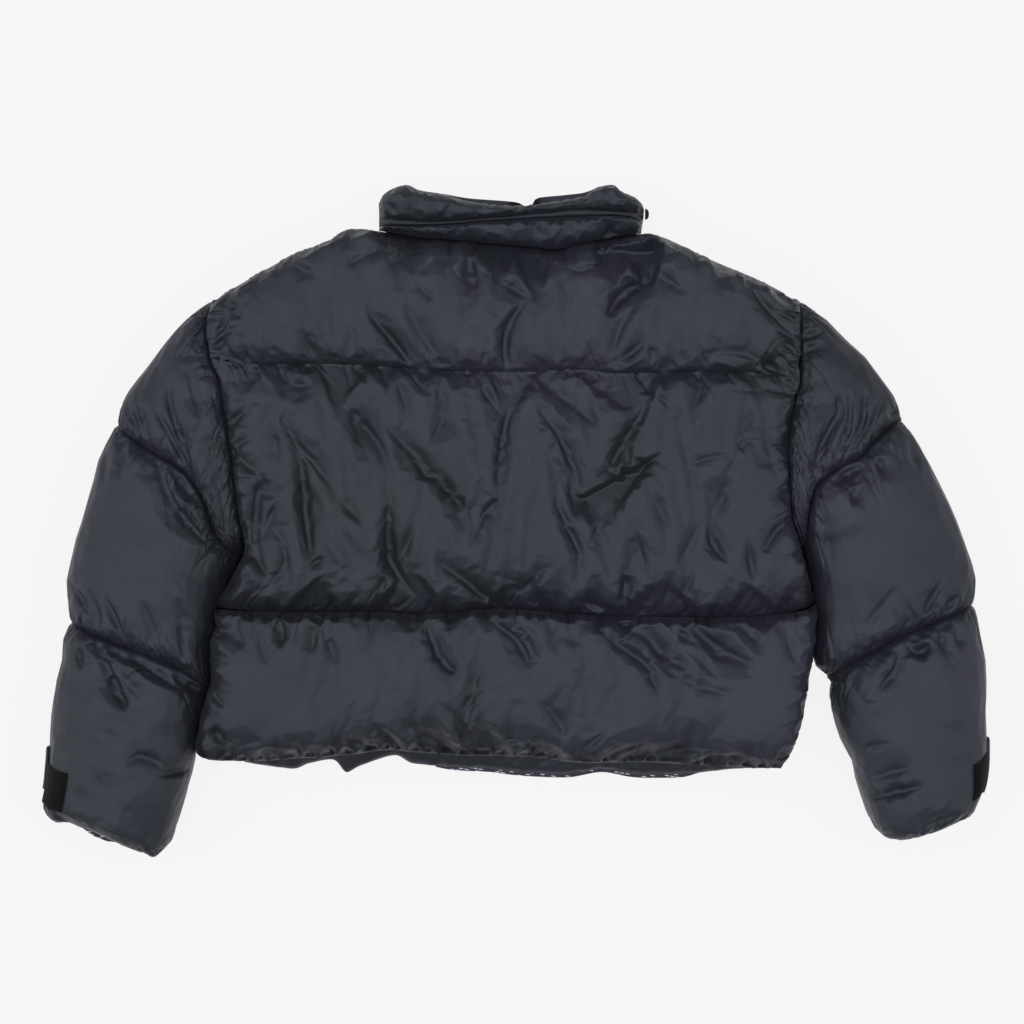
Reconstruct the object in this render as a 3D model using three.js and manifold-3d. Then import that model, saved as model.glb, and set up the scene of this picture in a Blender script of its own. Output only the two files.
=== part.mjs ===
// Oversized cropped puffer jacket, laid flat on its front with the back up.
// Millimetres. +X to the right of the back view (the wearer's right), +Y to the
// collar, +Z up. The origin is on the surface under the middle of the outline.
//
// Each quilted baffle is a closed padded solid between its sewn seams. A flat
// baffle is a grid over a four-sided plan, thin at its stitched edges and full
// between them. A sleeve baffle is a flattened ring of the same kind, open at
// both ends, with its two layers lying on each other.

import * as THREE from 'three';
import { mergeVertices } from 'three/addons/utils/BufferGeometryUtils.js';
import Module from 'manifold-3d';

const wasm = await Module();
wasm.setup();

// ---------------------------------------------------------------- sizes, mm
const LAYER = 42;          // height where the front and back layers touch
const CREST = 95;          // top of the back baffles
const SEAM_TOP = 60;       // back layer's stitched seams
const SEAM_FRONT = 12;     // front layer's stitched seams, above the surface
const EDGE = 2.5;          // thickness of a stitched edge
const GAP = 0.25;          // half the gap left at a seam
const ARM_GAP = 2.2;       // what the sleeve heads keep from the body
const SLEEVE_CREST = 98;   // top of the sleeve baffles
const SLEEVE_SEAM = 62;    // top of the sleeves' stitched seams
const SLEEVE_SEAM_LOW = 10;
const SLIT = 1.1;          // half the slit between a sleeve's two layers
const COLLAR_CREST = 72;
const COLLAR_LAYER = 35.2;
const ZIP_X = 14;          // centre front zip
const ZIP_Z = 6.4;         // middle of its tapes
const ZIP_CHANNEL = 12.3;  // from the zip's centre to the padded fronts
const TAPE = { inner: 2.9, outer: 9.0, thick: 0.8 };
const CHAIN = { half: 2.5, thick: 2.4 };
const SLIDER = { half: 4.5, length: 11, plate: 1.0, space: 3.2, web: 0.8 };
const PULL = { bar: 0.55, arm: 7.0, tab: 24, half: 3.5, thick: 1.2 };
const PATCH = { lift: 0.9, thick: 1.6 };
const TAB = { lift: 2.6, thick: 2.4 };

// grid steps across and along
const N_BACK = { across: 26, along: 6 };
const N_FRONT = { across: 8, along: 6 };
const N_SLEEVE = { half: 10, along: 6 };

// ------------------------------------------------- outline tables: x, y in mm
// shoulders and neck seam, left to right
const SHOULDERS = [[-333, 239], [-296, 262], [-257, 284], [-206, 306], [-183, 315], [-152, 313],
  [-112, 305], [-63, 301], [-32, 298], [23, 293], [46, 291], [74, 298], [105, 304], [140, 310],
  [165, 305], [216, 284], [268, 262], [312, 238]];
// quilting seams of the body, left to right
const SEAM_1 = [[-331, 174], [-296, 168], [-184, 168], [-125, 164], [-33, 160], [70, 163],
  [105, 158], [218, 160], [267, 158], [307, 148]];
const SEAM_2 = [[-333, -98], [-315, -100], [-219, -102], [-102, -104], [-33, -98], [33, -101],
  [95, -106], [218, -107], [267, -106], [312, -100], [331, -91]];
const HEM = [[-351, -254], [-344, -261], [-323, -265], [-242, -263], [-173, -258], [-138, -254],
  [-56, -260], [29, -263], [70, -267], [194, -270], [284, -273], [295, -268]];
// armholes from the shoulder down to the underarm; row 3 is at the first seam
const ARM_L = [[-333, 239], [-337, 221], [-337, 197], [-331, 174], [-323, 151], [-318, 116],
  [-308, 53], [-301, -2], [-298, -35]];
const ARM_R = [[312, 238], [310, 207], [309, 179], [307, 148], [298, 104], [296, 75],
  [297, 37], [300, 2], [312, -29]];
// side seams from the underarm to the hem; row 2 is at the second seam
const SIDE_L = [[-298, -35], [-315, -67], [-333, -98], [-331, -120], [-337, -137], [-336, -179],
  [-345, -207], [-352, -237], [-351, -254]];
const SIDE_R = [[312, -29], [323, -67], [331, -91], [332, -104], [328, -146], [323, -172],
  [315, -219], [305, -247], [295, -268]];

// sleeves: one table for each edge of each baffle, outer edge to inner edge
// for the seams, shoulder to cuff for the edges
const SLEEVES = {
  left: {
    seam1: [[-437, 103], [-430, 95], [-397, 73], [-364, 53], [-342, 24], [-326, -20], [-305, -40]],
    seam2: [[-488, -114], [-451, -130], [-414, -144], [-369, -162], [-343, -186]],
    cuff: [[-517, -323], [-504, -332], [-488, -332], [-459, -342], [-435, -354], [-408, -365], [-395, -370], [-383, -359]],
    outer: [
      [[-333, 239], [-361, 218], [-381, 196], [-397, 174], [-415, 152], [-430, 130], [-437, 103]],
      [[-437, 103], [-457, 64], [-469, 20], [-482, -24], [-492, -68], [-488, -114]],
      [[-488, -114], [-496, -134], [-503, -178], [-509, -222], [-510, -266], [-518, -311], [-517, -323]]],
    inner: [
      [[-298, -35], [-305, -40]],
      [[-305, -40], [-319, -67], [-337, -98], [-337, -120], [-342, -137], [-342, -180], [-343, -186]],
      [[-343, -186], [-351, -207], [-357, -237], [-357, -272], [-372, -325], [-377, -340], [-383, -359]]],
  },
  right: {
    seam1: [[424, 103], [416, 107], [389, 83], [373, 67], [343, 50], [325, 32], [319, 4], [317, -33]],
    seam2: [[501, -95], [448, -116], [414, -130], [385, -147], [348, -172]],
    cuff: [[502, -315], [494, -327], [481, -332], [462, -340], [441, -347], [418, -351], [402, -347], [393, -333]],
    outer: [
      [[312, 238], [339, 218], [360, 196], [384, 174], [399, 152], [415, 130], [424, 103]],
      [[424, 103], [450, 64], [472, 20], [490, -24], [504, -68], [501, -95]],
      [[501, -95], [510, -134], [515, -178], [514, -244], [512, -288], [502, -315]]],
    inner: [
      [[312, -29], [317, -33]],
      [[317, -33], [328, -67], [337, -91], [338, -104], [334, -146], [336, -160], [348, -172]],
      [[348, -172], [353, -200], [365, -244], [377, -288], [393, -333]]],
  },
};

// collar, left to right
const COLLAR_TOP = [[-151, 347], [-146, 357], [-135, 364], [-120, 368], [-106, 362], [-82, 358],
  [-52, 349], [-12, 343], [15, 343], [48, 348], [74, 354], [89, 364], [107, 368], [116, 360],
  [134, 351], [141, 341]];
const COLLAR_STITCH = [[-151, 329], [-92, 325], [-32, 329], [29, 335], [79, 338], [141, 334]];
const COLLAR_LINE = [[-151, 321], [-108, 320], [-67, 322], [-32, 325], [15, 328], [74, 331], [109, 331], [140, 327]];
const COLLAR_FOOT = [[-151, 317], [-112, 309], [-63, 305], [-32, 302], [23, 297], [46, 295], [74, 302], [105, 308], [138, 314]];
const COLLAR_FRONT = [[-148, 347], [-135, 362], [-120, 367], [-106, 361], [-82, 359], [-52, 354],
  [-12, 351], [3, 349], [11, 344], [17, 344], [23, 354], [48, 357], [74, 360], [89, 365],
  [107, 367], [134, 350], [139, 339]];
const LOOP = { x: 142.2, y0: 329, y1: 341, reach: 4.2, wide: 3.2, z: 44, tall: 5 };

// what shows of the front's inside beyond the back hem: the facing's edge
const FACING = [[-300, -270], [-248, -277], [-229, -271], [-202, -267], [-188, -281], [-173, -274],
  [-135, -262], [-114, -271], [-68, -279], [-29, -281], [57, -287], [95, -281], [132, -287],
  [182, -287], [206, -281], [243, -277], [284, -276]];
const LINING_SPAN = { from: -89, to: 202, show: 4 };
// what shows of the lining in the left cuff: x, y of the lower layer's edge
const CUFF_LINING = [[-490, -336], [-477, -342], [-466, -350], [-451, -356], [-437, -357]];

// hook-and-loop pieces and cuff tabs, as ranges of the cuff's own grid:
// a is the step round the ring from the outer edge, b the step along it
const CUFF_PIECES = {
  left: { patch: { a0: 0.75, a1: 2.85, b0: 3.9, b1: 4.95 }, tab: { a0: -2.0, a1: 0.35, b0: 3.6, b1: 4.6 } },
  right: { patch: { a0: 0.85, a1: 2.6, b0: 3.85, b1: 4.7 }, tab: { a0: -2.0, a1: 0.4, b0: 3.6, b1: 4.9 } },
};

// the largest folds of the back: a trough from x0, y0 to x1, y1, its half width and depth
const FOLDS = [
  { x0: -158, y0: 221, x1: -114, y1: 167, wide: 16, deep: 6 },
  { x0: 9, y0: 236, x1: -12, y1: 160, wide: 16, deep: 7 },
  { x0: 147, y0: 270, x1: 100, y1: 219, wide: 15, deep: 8 },
  { x0: 253, y0: 252, x1: 302, y1: 196, wide: 16, deep: 9 },
  { x0: -234, y0: 74, x1: -222, y1: -42, wide: 18, deep: 12 },
  { x0: -179, y0: 118, x1: -142, y1: 64, wide: 18, deep: 9 },
  { x0: -135, y0: 95, x1: -56, y1: -8, wide: 20, deep: 11 },
  { x0: -278, y0: 39, x1: -271, y1: -61, wide: 18, deep: 12 },
  { x0: -138, y0: 10, x1: -112, y1: -82, wide: 18, deep: 10 },
  { x0: -84, y0: -47, x1: -14, y1: -98, wide: 16, deep: 10 },
  { x0: -6, y0: 141, x1: -21, y1: 38, wide: 16, deep: 9 },
  { x0: 142, y0: 124, x1: 100, y1: 52, wide: 18, deep: 10 },
  { x0: 23, y0: 153, x1: 87, y1: 102, wide: 18, deep: 8 },
  { x0: 15, y0: 114, x1: 58, y1: 20, wide: 18, deep: 8 },
  { x0: -123, y0: -222, x1: -70, y1: -255, wide: 16, deep: 8 },
  { x0: -98, y0: -111, x1: -63, y1: -169, wide: 16, deep: 7 },
  { x0: 110, y0: -118, x1: 184, y1: -162, wide: 16, deep: 7 },
];

// ---------------------------------------------------------------- colours
const COLOUR = { shell: 0x2b2f38, lining: 0x30323c, loop: 0x17181b, tape: 0x1c1d21, metal: 0x3a3b3f };

// ---------------------------------------------------------------- helpers
const group = new THREE.Group();
const clamp = (v, lo, hi) => Math.min(hi, Math.max(lo, v));
const mix = (a, b, t) => a + (b - a) * t;

function addMesh(name, geometry, colour, roughness = 0.55, metalness = 0) {
  const material = new THREE.MeshStandardMaterial({ color: colour, roughness, metalness });
  const mesh = new THREE.Mesh(geometry, material);
  mesh.name = name;
  group.add(mesh);
  return mesh;
}

// a closed solid from points and triangles, turned so that its faces point out
function solid(points, tris) {
  let volume = 0;
  const a = new THREE.Vector3(), b = new THREE.Vector3(), c = new THREE.Vector3();
  for (const [i, j, k] of tris) {
    a.set(...points[i]); b.set(...points[j]); c.set(...points[k]);
    volume += a.dot(b.cross(c)) / 6;
  }
  const geometry = new THREE.BufferGeometry();
  geometry.setAttribute('position', new THREE.Float32BufferAttribute(points.flat(), 3));
  geometry.setIndex(tris.flatMap(([i, j, k]) => (volume < 0 ? [i, k, j] : [i, j, k])));
  geometry.computeVertexNormals();
  return geometry;
}

// a point at share u of a table's length
function curve(rows) {
  const run = [0];
  for (let i = 1; i < rows.length; i++) run.push(run[i - 1] + Math.hypot(rows[i][0] - rows[i - 1][0], rows[i][1] - rows[i - 1][1]));
  const total = run[run.length - 1];
  return (u) => {
    const d = clamp(u, 0, 1) * total;
    let i = 1;
    while (i < rows.length - 1 && run[i] < d) i++;
    const f = (d - run[i - 1]) / (run[i] - run[i - 1]);
    return [mix(rows[i - 1][0], rows[i][0], f), mix(rows[i - 1][1], rows[i][1], f)];
  };
}

// the stretch of a left-to-right table between two x values
function between(rows, x0, x1) {
  const at = (x) => {
    let i = 1;
    while (i < rows.length - 1 && rows[i][0] < x) i++;
    const f = (x - rows[i - 1][0]) / (rows[i][0] - rows[i - 1][0]);
    return [x, mix(rows[i - 1][1], rows[i][1], f)];
  };
  return [at(x0), ...rows.filter((r) => r[0] > x0 + 0.5 && r[0] < x1 - 0.5), at(x1)];
}

const shifted = (rows, dx, dy) => rows.map(([x, y]) => [x + dx, y + dy]);
const reversed = (rows) => rows.slice().reverse();

// a four-sided plan: s runs west to east, t south to north
function plan({ south, north, west, east }, gap = [GAP, GAP, GAP, GAP]) {
  const S = curve(south), N = curve(north), W = curve(west), E = curve(east);
  const c00 = S(0), c10 = S(1), c01 = N(0), c11 = N(1);
  const raw = (s, t) => [0, 1].map((k) =>
    (1 - t) * S(s)[k] + t * N(s)[k] + (1 - s) * W(t)[k] + s * E(t)[k]
    - ((1 - s) * (1 - t) * c00[k] + s * (1 - t) * c10[k] + (1 - s) * t * c01[k] + s * t * c11[k]));
  const span = (p, q) => Math.hypot(p[0] - q[0], p[1] - q[1]);
  const wide = (t) => span(raw(0, t), raw(1, t));
  const tall = (s) => span(raw(s, 0), raw(s, 1));
  const at = (s, t) => {
    const w = wide(t), h = tall(s);
    const s1 = mix(gap[2] / w, 1 - gap[3] / w, s), t1 = mix(gap[0] / h, 1 - gap[1] / h, t);
    return raw(s1, t1);
  };
  return { at, wide, tall };
}

// a padded or plain piece over a plan, between a lower and an upper height
function pad({ shape, across, along: count, top, bottom, even = false, extra = [] }) {
  const points = [], tris = [];
  const steps = [...extra];
  for (let j = 0; j <= count; j++) steps.push(even ? j / count : (1 - Math.cos(Math.PI * j / count)) / 2);
  steps.sort((a, b) => a - b);
  const along = steps.length - 1, step = (j) => steps[j];
  const row = across + 1, layer = row * (along + 1);
  for (const side of [top, bottom]) {
    for (let j = 0; j <= along; j++) {
      for (let i = 0; i <= across; i++) {
        const s = i / across, t = step(j), [x, y] = shape.at(s, t);
        points.push([x, y, side(s, t, x, y)]);
      }
    }
  }
  for (let j = 0; j < along; j++) {
    for (let i = 0; i < across; i++) {
      const p = j * row + i;
      tris.push([p, p + 1, p + row + 1], [p, p + row + 1, p + row]);
      const q = p + layer;
      tris.push([q, q + row + 1, q + 1], [q, q + row, q + row + 1]);
    }
  }
  const ring = [];
  for (let i = 0; i < across; i++) ring.push(i);
  for (let j = 0; j < along; j++) ring.push(j * row + across);
  for (let i = across; i > 0; i--) ring.push(along * row + i);
  for (let j = along; j > 0; j--) ring.push(j * row);
  ring.forEach((p, i) => {
    const q = ring[(i + 1) % ring.length];
    tris.push([p, p + layer, q + layer], [p, q + layer, q]);
  });
  return solid(points, tris);
}

// heights of a padded baffle: level is the stitched edge's height at a point
const puff = (t, power = 0.8) => Math.pow(Math.sin(Math.PI * clamp(Math.acos(1 - 2 * t) / Math.PI, 0, 1)), power);
const ease = (d, reach) => { const k = 1 - clamp(d / reach, 0, 1); return Math.sqrt(Math.max(0, 1 - k * k)); };
const fall = (d, reach) => { const k = 1 - clamp(d / reach, 0, 1); return k * k; };

function levelAt(shape, edges, inner, reach) {
  // edges: the height at south, north, west and east, a number or a function of t
  return (s, t) => {
    const w = shape.wide(t), h = shape.tall(s);
    const value = (e) => (typeof e === 'function' ? e(t) : e);
    let level = inner;
    const pull = (edge, d) => { if (edge !== null) level += (value(edge) - inner) * fall(d, reach) * (1 - Math.abs(level - inner) / 60); };
    pull(edges.south, t * h); pull(edges.north, (1 - t) * h);
    pull(edges.west, s * w); pull(edges.east, (1 - s) * w);
    return level;
  };
}

function foldDepth(x, y) {
  let depth = 0;
  for (const f of FOLDS) {
    const dx = f.x1 - f.x0, dy = f.y1 - f.y0;
    const u = clamp(((x - f.x0) * dx + (y - f.y0) * dy) / (dx * dx + dy * dy), 0, 1);
    const d = Math.hypot(x - f.x0 - u * dx, y - f.y0 - u * dy);
    depth = Math.max(depth, f.deep * Math.exp(-Math.pow(d / f.wide, 2)));
  }
  return depth;
}

function backBaffle(name, sides, edges, extra = []) {
  const shape = plan(sides);
  const level = levelAt(shape, edges, SEAM_TOP, 60);
  const full = (s, t) => puff(t) * ease(s * shape.wide(t), 70) * ease((1 - s) * shape.wide(t), 70);
  addMesh(name, pad({
    shape, across: N_BACK.across, along: N_BACK.along, extra,
    top: (s, t, x, y) => { const l = Math.max(level(s, t), LAYER + 0.4 + EDGE); return l + (CREST - l - foldDepth(x, y)) * full(s, t); },
    bottom: (s, t) => { const l = Math.max(level(s, t), LAYER + 0.4 + EDGE) - EDGE; return l - (l - LAYER - 0.3) * full(s, t); },
  }), COLOUR.shell);
}

function frontBaffle(name, sides, edges, extra = []) {
  const shape = plan(sides);
  const level = levelAt(shape, edges, SEAM_FRONT, 45);
  const full = (s, t) => puff(t) * ease(s * shape.wide(t), 45) * ease((1 - s) * shape.wide(t), 45);
  addMesh(name, pad({
    shape, across: N_FRONT.across, along: N_FRONT.along, extra,
    top: (s, t) => { const l = Math.min(level(s, t), LAYER); return l + (LAYER - l) * full(s, t); },
    bottom: (s, t) => (Math.min(level(s, t), LAYER) - EDGE) * clamp(1 - 1.7 * full(s, t), 0, 1),
  }), COLOUR.shell);
}

// ---------------------------------------------------------------- body back
const rowsFrom = (rows, i, j) => rows.slice(i, j + 1);
const low = LAYER + 3;
const underarm = (t) => (t > 0.42 ? SEAM_TOP : mix(low, SEAM_TOP, clamp((t - 0.2) / 0.22, 0, 1)));

const ABOVE_UNDERARM = [0.37, 0.62];

backBaffle('back_yoke', {
  south: SEAM_1, north: SHOULDERS, west: reversed(rowsFrom(ARM_L, 0, 3)), east: reversed(rowsFrom(ARM_R, 0, 3)),
}, { south: null, north: low, west: null, east: null });
backBaffle('back_middle', {
  south: SEAM_2, north: SEAM_1,
  west: [...reversed(rowsFrom(SIDE_L, 0, 2)), ...reversed(rowsFrom(ARM_L, 3, 7))],
  east: [...reversed(rowsFrom(SIDE_R, 0, 2)), ...reversed(rowsFrom(ARM_R, 3, 7))],
}, { south: null, north: null, west: underarm, east: underarm }, ABOVE_UNDERARM);
backBaffle('back_hem', {
  south: HEM, north: SEAM_2, west: reversed(rowsFrom(SIDE_L, 2, 8)), east: reversed(rowsFrom(SIDE_R, 2, 8)),
}, { south: low, north: null, west: low, east: low });

// ---------------------------------------------------------------- body front
const under = (t) => (t > 0.42 ? SEAM_FRONT : mix(LAYER, SEAM_FRONT, clamp((t - 0.2) / 0.22, 0, 1)));
const ZIP_LEFT = ZIP_X - ZIP_CHANNEL, ZIP_RIGHT = ZIP_X + ZIP_CHANNEL;
const yAt = (rows, x) => between(rows, x, x + 1)[0][1];
const zipSide = (x, south, north) => [[x, yAt(south, x)], [x, yAt(north, x)]];
const frontRows = [
  { name: 'yoke', south: SEAM_1, north: SHOULDERS, left: reversed(rowsFrom(ARM_L, 0, 3)), right: reversed(rowsFrom(ARM_R, 0, 3)), low: null, high: LAYER, side: null },
  { name: 'middle', south: SEAM_2, north: SEAM_1, left: [...reversed(rowsFrom(SIDE_L, 0, 2)), ...reversed(rowsFrom(ARM_L, 3, 7))], right: [...reversed(rowsFrom(SIDE_R, 0, 2)), ...reversed(rowsFrom(ARM_R, 3, 7))], low: null, high: null, side: under },
  { name: 'hem', south: HEM, north: SEAM_2, left: reversed(rowsFrom(SIDE_L, 2, 8)), right: reversed(rowsFrom(SIDE_R, 2, 8)), low: LAYER, high: null, side: LAYER },
];
for (const f of frontRows) {
  frontBaffle(`front_left_${f.name}`, {
    south: between(f.south, f.south[0][0], ZIP_LEFT), north: between(f.north, f.north[0][0], ZIP_LEFT),
    west: f.left, east: zipSide(ZIP_LEFT, f.south, f.north),
  }, { south: f.low, north: f.high, west: f.side, east: null }, f.side === under ? ABOVE_UNDERARM : []);
  frontBaffle(`front_right_${f.name}`, {
    south: between(f.south, ZIP_RIGHT, f.south[f.south.length - 1][0]), north: between(f.north, ZIP_RIGHT, f.north[f.north.length - 1][0]),
    west: zipSide(ZIP_RIGHT, f.south, f.north), east: f.right,
  }, { south: f.low, north: f.high, west: null, east: f.side }, f.side === under ? ABOVE_UNDERARM : []);
}

// ---------------------------------------------------------------- sleeves
// Angle a goes once round the ring: 0 at the outer edge, over the top to the
// inner edge at half a turn, and back underneath.
function sleeveRing({ south, north, west, east, gap, end, lip }) {
  const shape = plan({ south, north, west, east }, gap);
  const n = 2 * N_SLEEVE.half, m = N_SLEEVE.along;
  const grid = { outer: [], inner: [] };
  for (let j = 0; j <= m; j++) {
    const t = (1 - Math.cos(Math.PI * j / m)) / 2;
    const fill = Math.pow(Math.sin(Math.PI * j / m), 0.75);
    const last = end && j > m / 2;
    const seamTop = last ? end.top : SLEEVE_SEAM, seamLow = last ? end.low : SLEEVE_SEAM_LOW;
    const up = mix(seamTop, SLEEVE_CREST, fill) - LAYER, down = LAYER - mix(seamLow, 0, clamp(1.5 * fill, 0, 1));
    const slit = last ? 0 : Math.pow(1 - fill, 1.5);
    const inUp = mix(SLIT, SLEEVE_SEAM - LAYER - 4, slit), inDown = mix(SLIT, LAYER - SLEEVE_SEAM_LOW - 4, slit);
    const width = shape.wide(0) && Math.hypot(shape.at(0, t)[0] - shape.at(1, t)[0], shape.at(0, t)[1] - shape.at(1, t)[1]);
    const inset = mix(4, 14, Math.min(1, fill * 1.5)) / width;
    const outer = [], inner = [];
    for (let i = 0; i < n; i++) {
      const a = 2 * Math.PI * i / n, s = (1 - Math.cos(a)) / 2, h = Math.sin(a), over = h >= -1e-9;
      const lipY = lip && j === m && !over ? lip(s) : 0;
      const [x, y] = shape.at(s, t), [xi, yi] = shape.at(mix(inset, 1 - inset, s), t);
      const rise = Math.pow(Math.abs(h), 0.72);
      outer.push([x, y - lipY, over ? LAYER + up * rise : LAYER - Math.min(down, 1.2 * down * rise)]);
      inner.push([xi, yi - lipY, over ? LAYER + inUp * rise : LAYER - inDown * rise]);
    }
    grid.outer.push(outer); grid.inner.push(inner);
  }
  const points = [...grid.outer.flat(), ...grid.inner.flat()], tris = [];
  const at = (k, j, i) => k * n * (m + 1) + j * n + ((i + n) % n);
  for (let i = 0; i < n; i++) {
    for (let j = 0; j < m; j++) {
      tris.push([at(0, j, i), at(0, j, i + 1), at(0, j + 1, i + 1)], [at(0, j, i), at(0, j + 1, i + 1), at(0, j + 1, i)]);
      tris.push([at(1, j, i), at(1, j + 1, i + 1), at(1, j, i + 1)], [at(1, j, i), at(1, j + 1, i), at(1, j + 1, i + 1)]);
    }
    tris.push([at(0, 0, i), at(1, 0, i), at(1, 0, i + 1)], [at(0, 0, i), at(1, 0, i + 1), at(0, 0, i + 1)]);
    tris.push([at(0, m, i), at(1, m, i + 1), at(1, m, i)], [at(0, m, i), at(0, m, i + 1), at(1, m, i + 1)]);
  }
  return { geometry: solid(points, tris), grid, n, m };
}

// a thin piece lying on a ring: its points are the ring's, moved out
function onRing(ring, { a0, a1, b0, b1 }, lift, thick) {
  const { grid, n } = ring;
  const surface = (a, b) => {
    const i = Math.floor(a), j = Math.min(Math.floor(b), grid.outer.length - 2), u = a - i, v = b - j;
    const p = (ii, jj) => new THREE.Vector3(...grid.outer[jj][((ii % n) + n) % n]);
    const p00 = p(i, j), p11 = p(i + 1, j + 1);
    if (u >= v) { const p10 = p(i + 1, j); return p00.clone().lerp(p10, u).add(p11.sub(p10).multiplyScalar(v)); }
    const p01 = p(i, j + 1);
    return p00.clone().lerp(p01, v).add(p11.sub(p01).multiplyScalar(u));
  };
  // the ring's own lines and the middles between them, within the piece
  const stops = (lo, hi) => {
    const list = [lo];
    for (let k = Math.ceil(lo * 2 + 0.1) / 2; k < hi - 0.05; k += 0.5) list.push(k);
    return [...list, hi];
  };
  const as = stops(a0, a1), bs = stops(b0, b1), na = as.length - 1, nb = bs.length - 1;
  const points = [], tris = [], row = na + 1, layer = row * (nb + 1);
  const centre = surface((a0 + a1) / 2 + n / 2, (b0 + b1) / 2);
  for (const h of [lift + thick, lift]) {
    for (const b of bs) {
      for (const a of as) {
        const p = surface(a, b);
        const du = surface(a + 0.4, b).sub(surface(a - 0.4, b)), dv = surface(a, b + 0.2).sub(surface(a, b - 0.2));
        const normal = du.cross(dv).normalize();
        if (normal.dot(p.clone().sub(centre)) < 0) normal.negate();
        points.push(p.add(normal.multiplyScalar(h)).toArray());
      }
    }
  }
  for (let j = 0; j < nb; j++) {
    for (let i = 0; i < na; i++) {
      const p = j * row + i, q = p + layer;
      tris.push([p, p + 1, p + row + 1], [p, p + row + 1, p + row], [q, q + row + 1, q + 1], [q, q + row, q + row + 1]);
    }
  }
  const rim = [];
  for (let i = 0; i < na; i++) rim.push(i);
  for (let j = 0; j < nb; j++) rim.push(j * row + na);
  for (let i = na; i > 0; i--) rim.push(nb * row + i);
  for (let j = nb; j > 0; j--) rim.push(j * row);
  rim.forEach((p, i) => {
    const q = rim[(i + 1) % rim.length];
    tris.push([p, p + layer, q + layer], [p, q + layer, q]);
  });
  return solid(points, tris);
}

for (const [side, table] of Object.entries(SLEEVES)) {
  const arm = side === 'left' ? ARM_L : ARM_R;
  const seams = [arm, table.seam1, table.seam2, table.cuff];
  ['upper', 'middle', 'cuff'].forEach((name, k) => {
    const ring = sleeveRing({
      south: seams[k], north: seams[k + 1], west: table.outer[k], east: table.inner[k],
      gap: [k === 0 ? ARM_GAP : 0.4, 0.4, 0.2, k === 0 ? 1.2 : 0.4],
      end: k === 2 ? { top: 70, low: 6 } : null,
      lip: k === 2 && side === 'left' ? (s) => 11 * Math.pow(Math.sin(Math.PI * clamp((s - 0.08) / 0.56, 0, 1)), 0.8) : null,
    });
    addMesh(`sleeve_${side}_${name}`, ring.geometry, COLOUR.shell);
    if (k === 2) {
      const piece = CUFF_PIECES[side];
      addMesh(`cuff_loop_patch_${side}`, onRing(ring, piece.patch, PATCH.lift, PATCH.thick), COLOUR.loop, 0.95);
      addMesh(`cuff_tab_${side}`, onRing(ring, piece.tab, TAB.lift, TAB.thick), COLOUR.shell);
    }
  });
}

// the lining that shows on the lower layer of the left cuff
{
  const upper = CUFF_LINING.map(([x, y]) => {
    const end = between(SLEEVES.left.cuff, x, x + 1)[0];
    return [x, end[1] - 0.9];
  });
  const shape = plan({ south: CUFF_LINING.map(([x, y], i) => [x, Math.min(y, upper[i][1] - 1.2)]), north: upper, west: [[CUFF_LINING[0][0], Math.min(CUFF_LINING[0][1], upper[0][1] - 1.2)], upper[0]], east: [[CUFF_LINING[4][0], Math.min(CUFF_LINING[4][1], upper[4][1] - 1.2)], upper[4]] }, [0, 0, 0, 0]);
  addMesh('cuff_lining_left', pad({ shape, across: 8, along: 1, even: true, top: () => LAYER + 0.5, bottom: () => LAYER - 0.7 }), COLOUR.lining, 0.7);
}

// ---------------------------------------------------------------- collar
function collarPad(name, rows, across, along, crest, edges, colour = COLOUR.shell) {
  const shape = plan(rows);
  const level = levelAt(shape, edges, 60, 22);
  const full = (s, t) => puff(t) * ease(s * shape.wide(t), 26) * ease((1 - s) * shape.wide(t), 26);
  const at = (s, t) => Math.max(level(s, t), COLLAR_LAYER + EDGE + 0.6);
  addMesh(name, pad({
    shape, across, along,
    top: (s, t) => { const l = at(s, t); return l + (crest - l) * full(s, t); },
    bottom: (s, t) => { const l = at(s, t) - EDGE; return l - (l - COLLAR_LAYER - 0.3) * full(s, t); },
  }), colour);
}
const ends = (south, north) => ({ west: [south[0], north[0]], east: [south[south.length - 1], north[north.length - 1]] });
const cLow = COLLAR_LAYER + EDGE + 0.6;
collarPad('collar_back_upper', { south: COLLAR_STITCH, north: COLLAR_TOP, ...ends(COLLAR_STITCH, COLLAR_TOP) }, 20, 4, COLLAR_CREST, { south: null, north: cLow, west: cLow, east: cLow });
collarPad('collar_back_lower', { south: COLLAR_FOOT, north: COLLAR_LINE, ...ends(COLLAR_FOOT, COLLAR_LINE) }, 20, 4, COLLAR_CREST - 3, { south: 46, north: null, west: cLow, east: cLow });
{
  const shape = plan({ south: COLLAR_LINE, north: COLLAR_STITCH, ...ends(COLLAR_LINE, COLLAR_STITCH) });
  const level = levelAt(shape, { south: null, north: null, west: cLow, east: cLow }, 62, 24);
  addMesh('collar_zip_welt', pad({ shape, across: 20, along: 1, even: true, top: (s, t) => level(s, t) + 1.2, bottom: (s, t) => level(s, t) - 0.8 }), COLOUR.shell);
}
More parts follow.
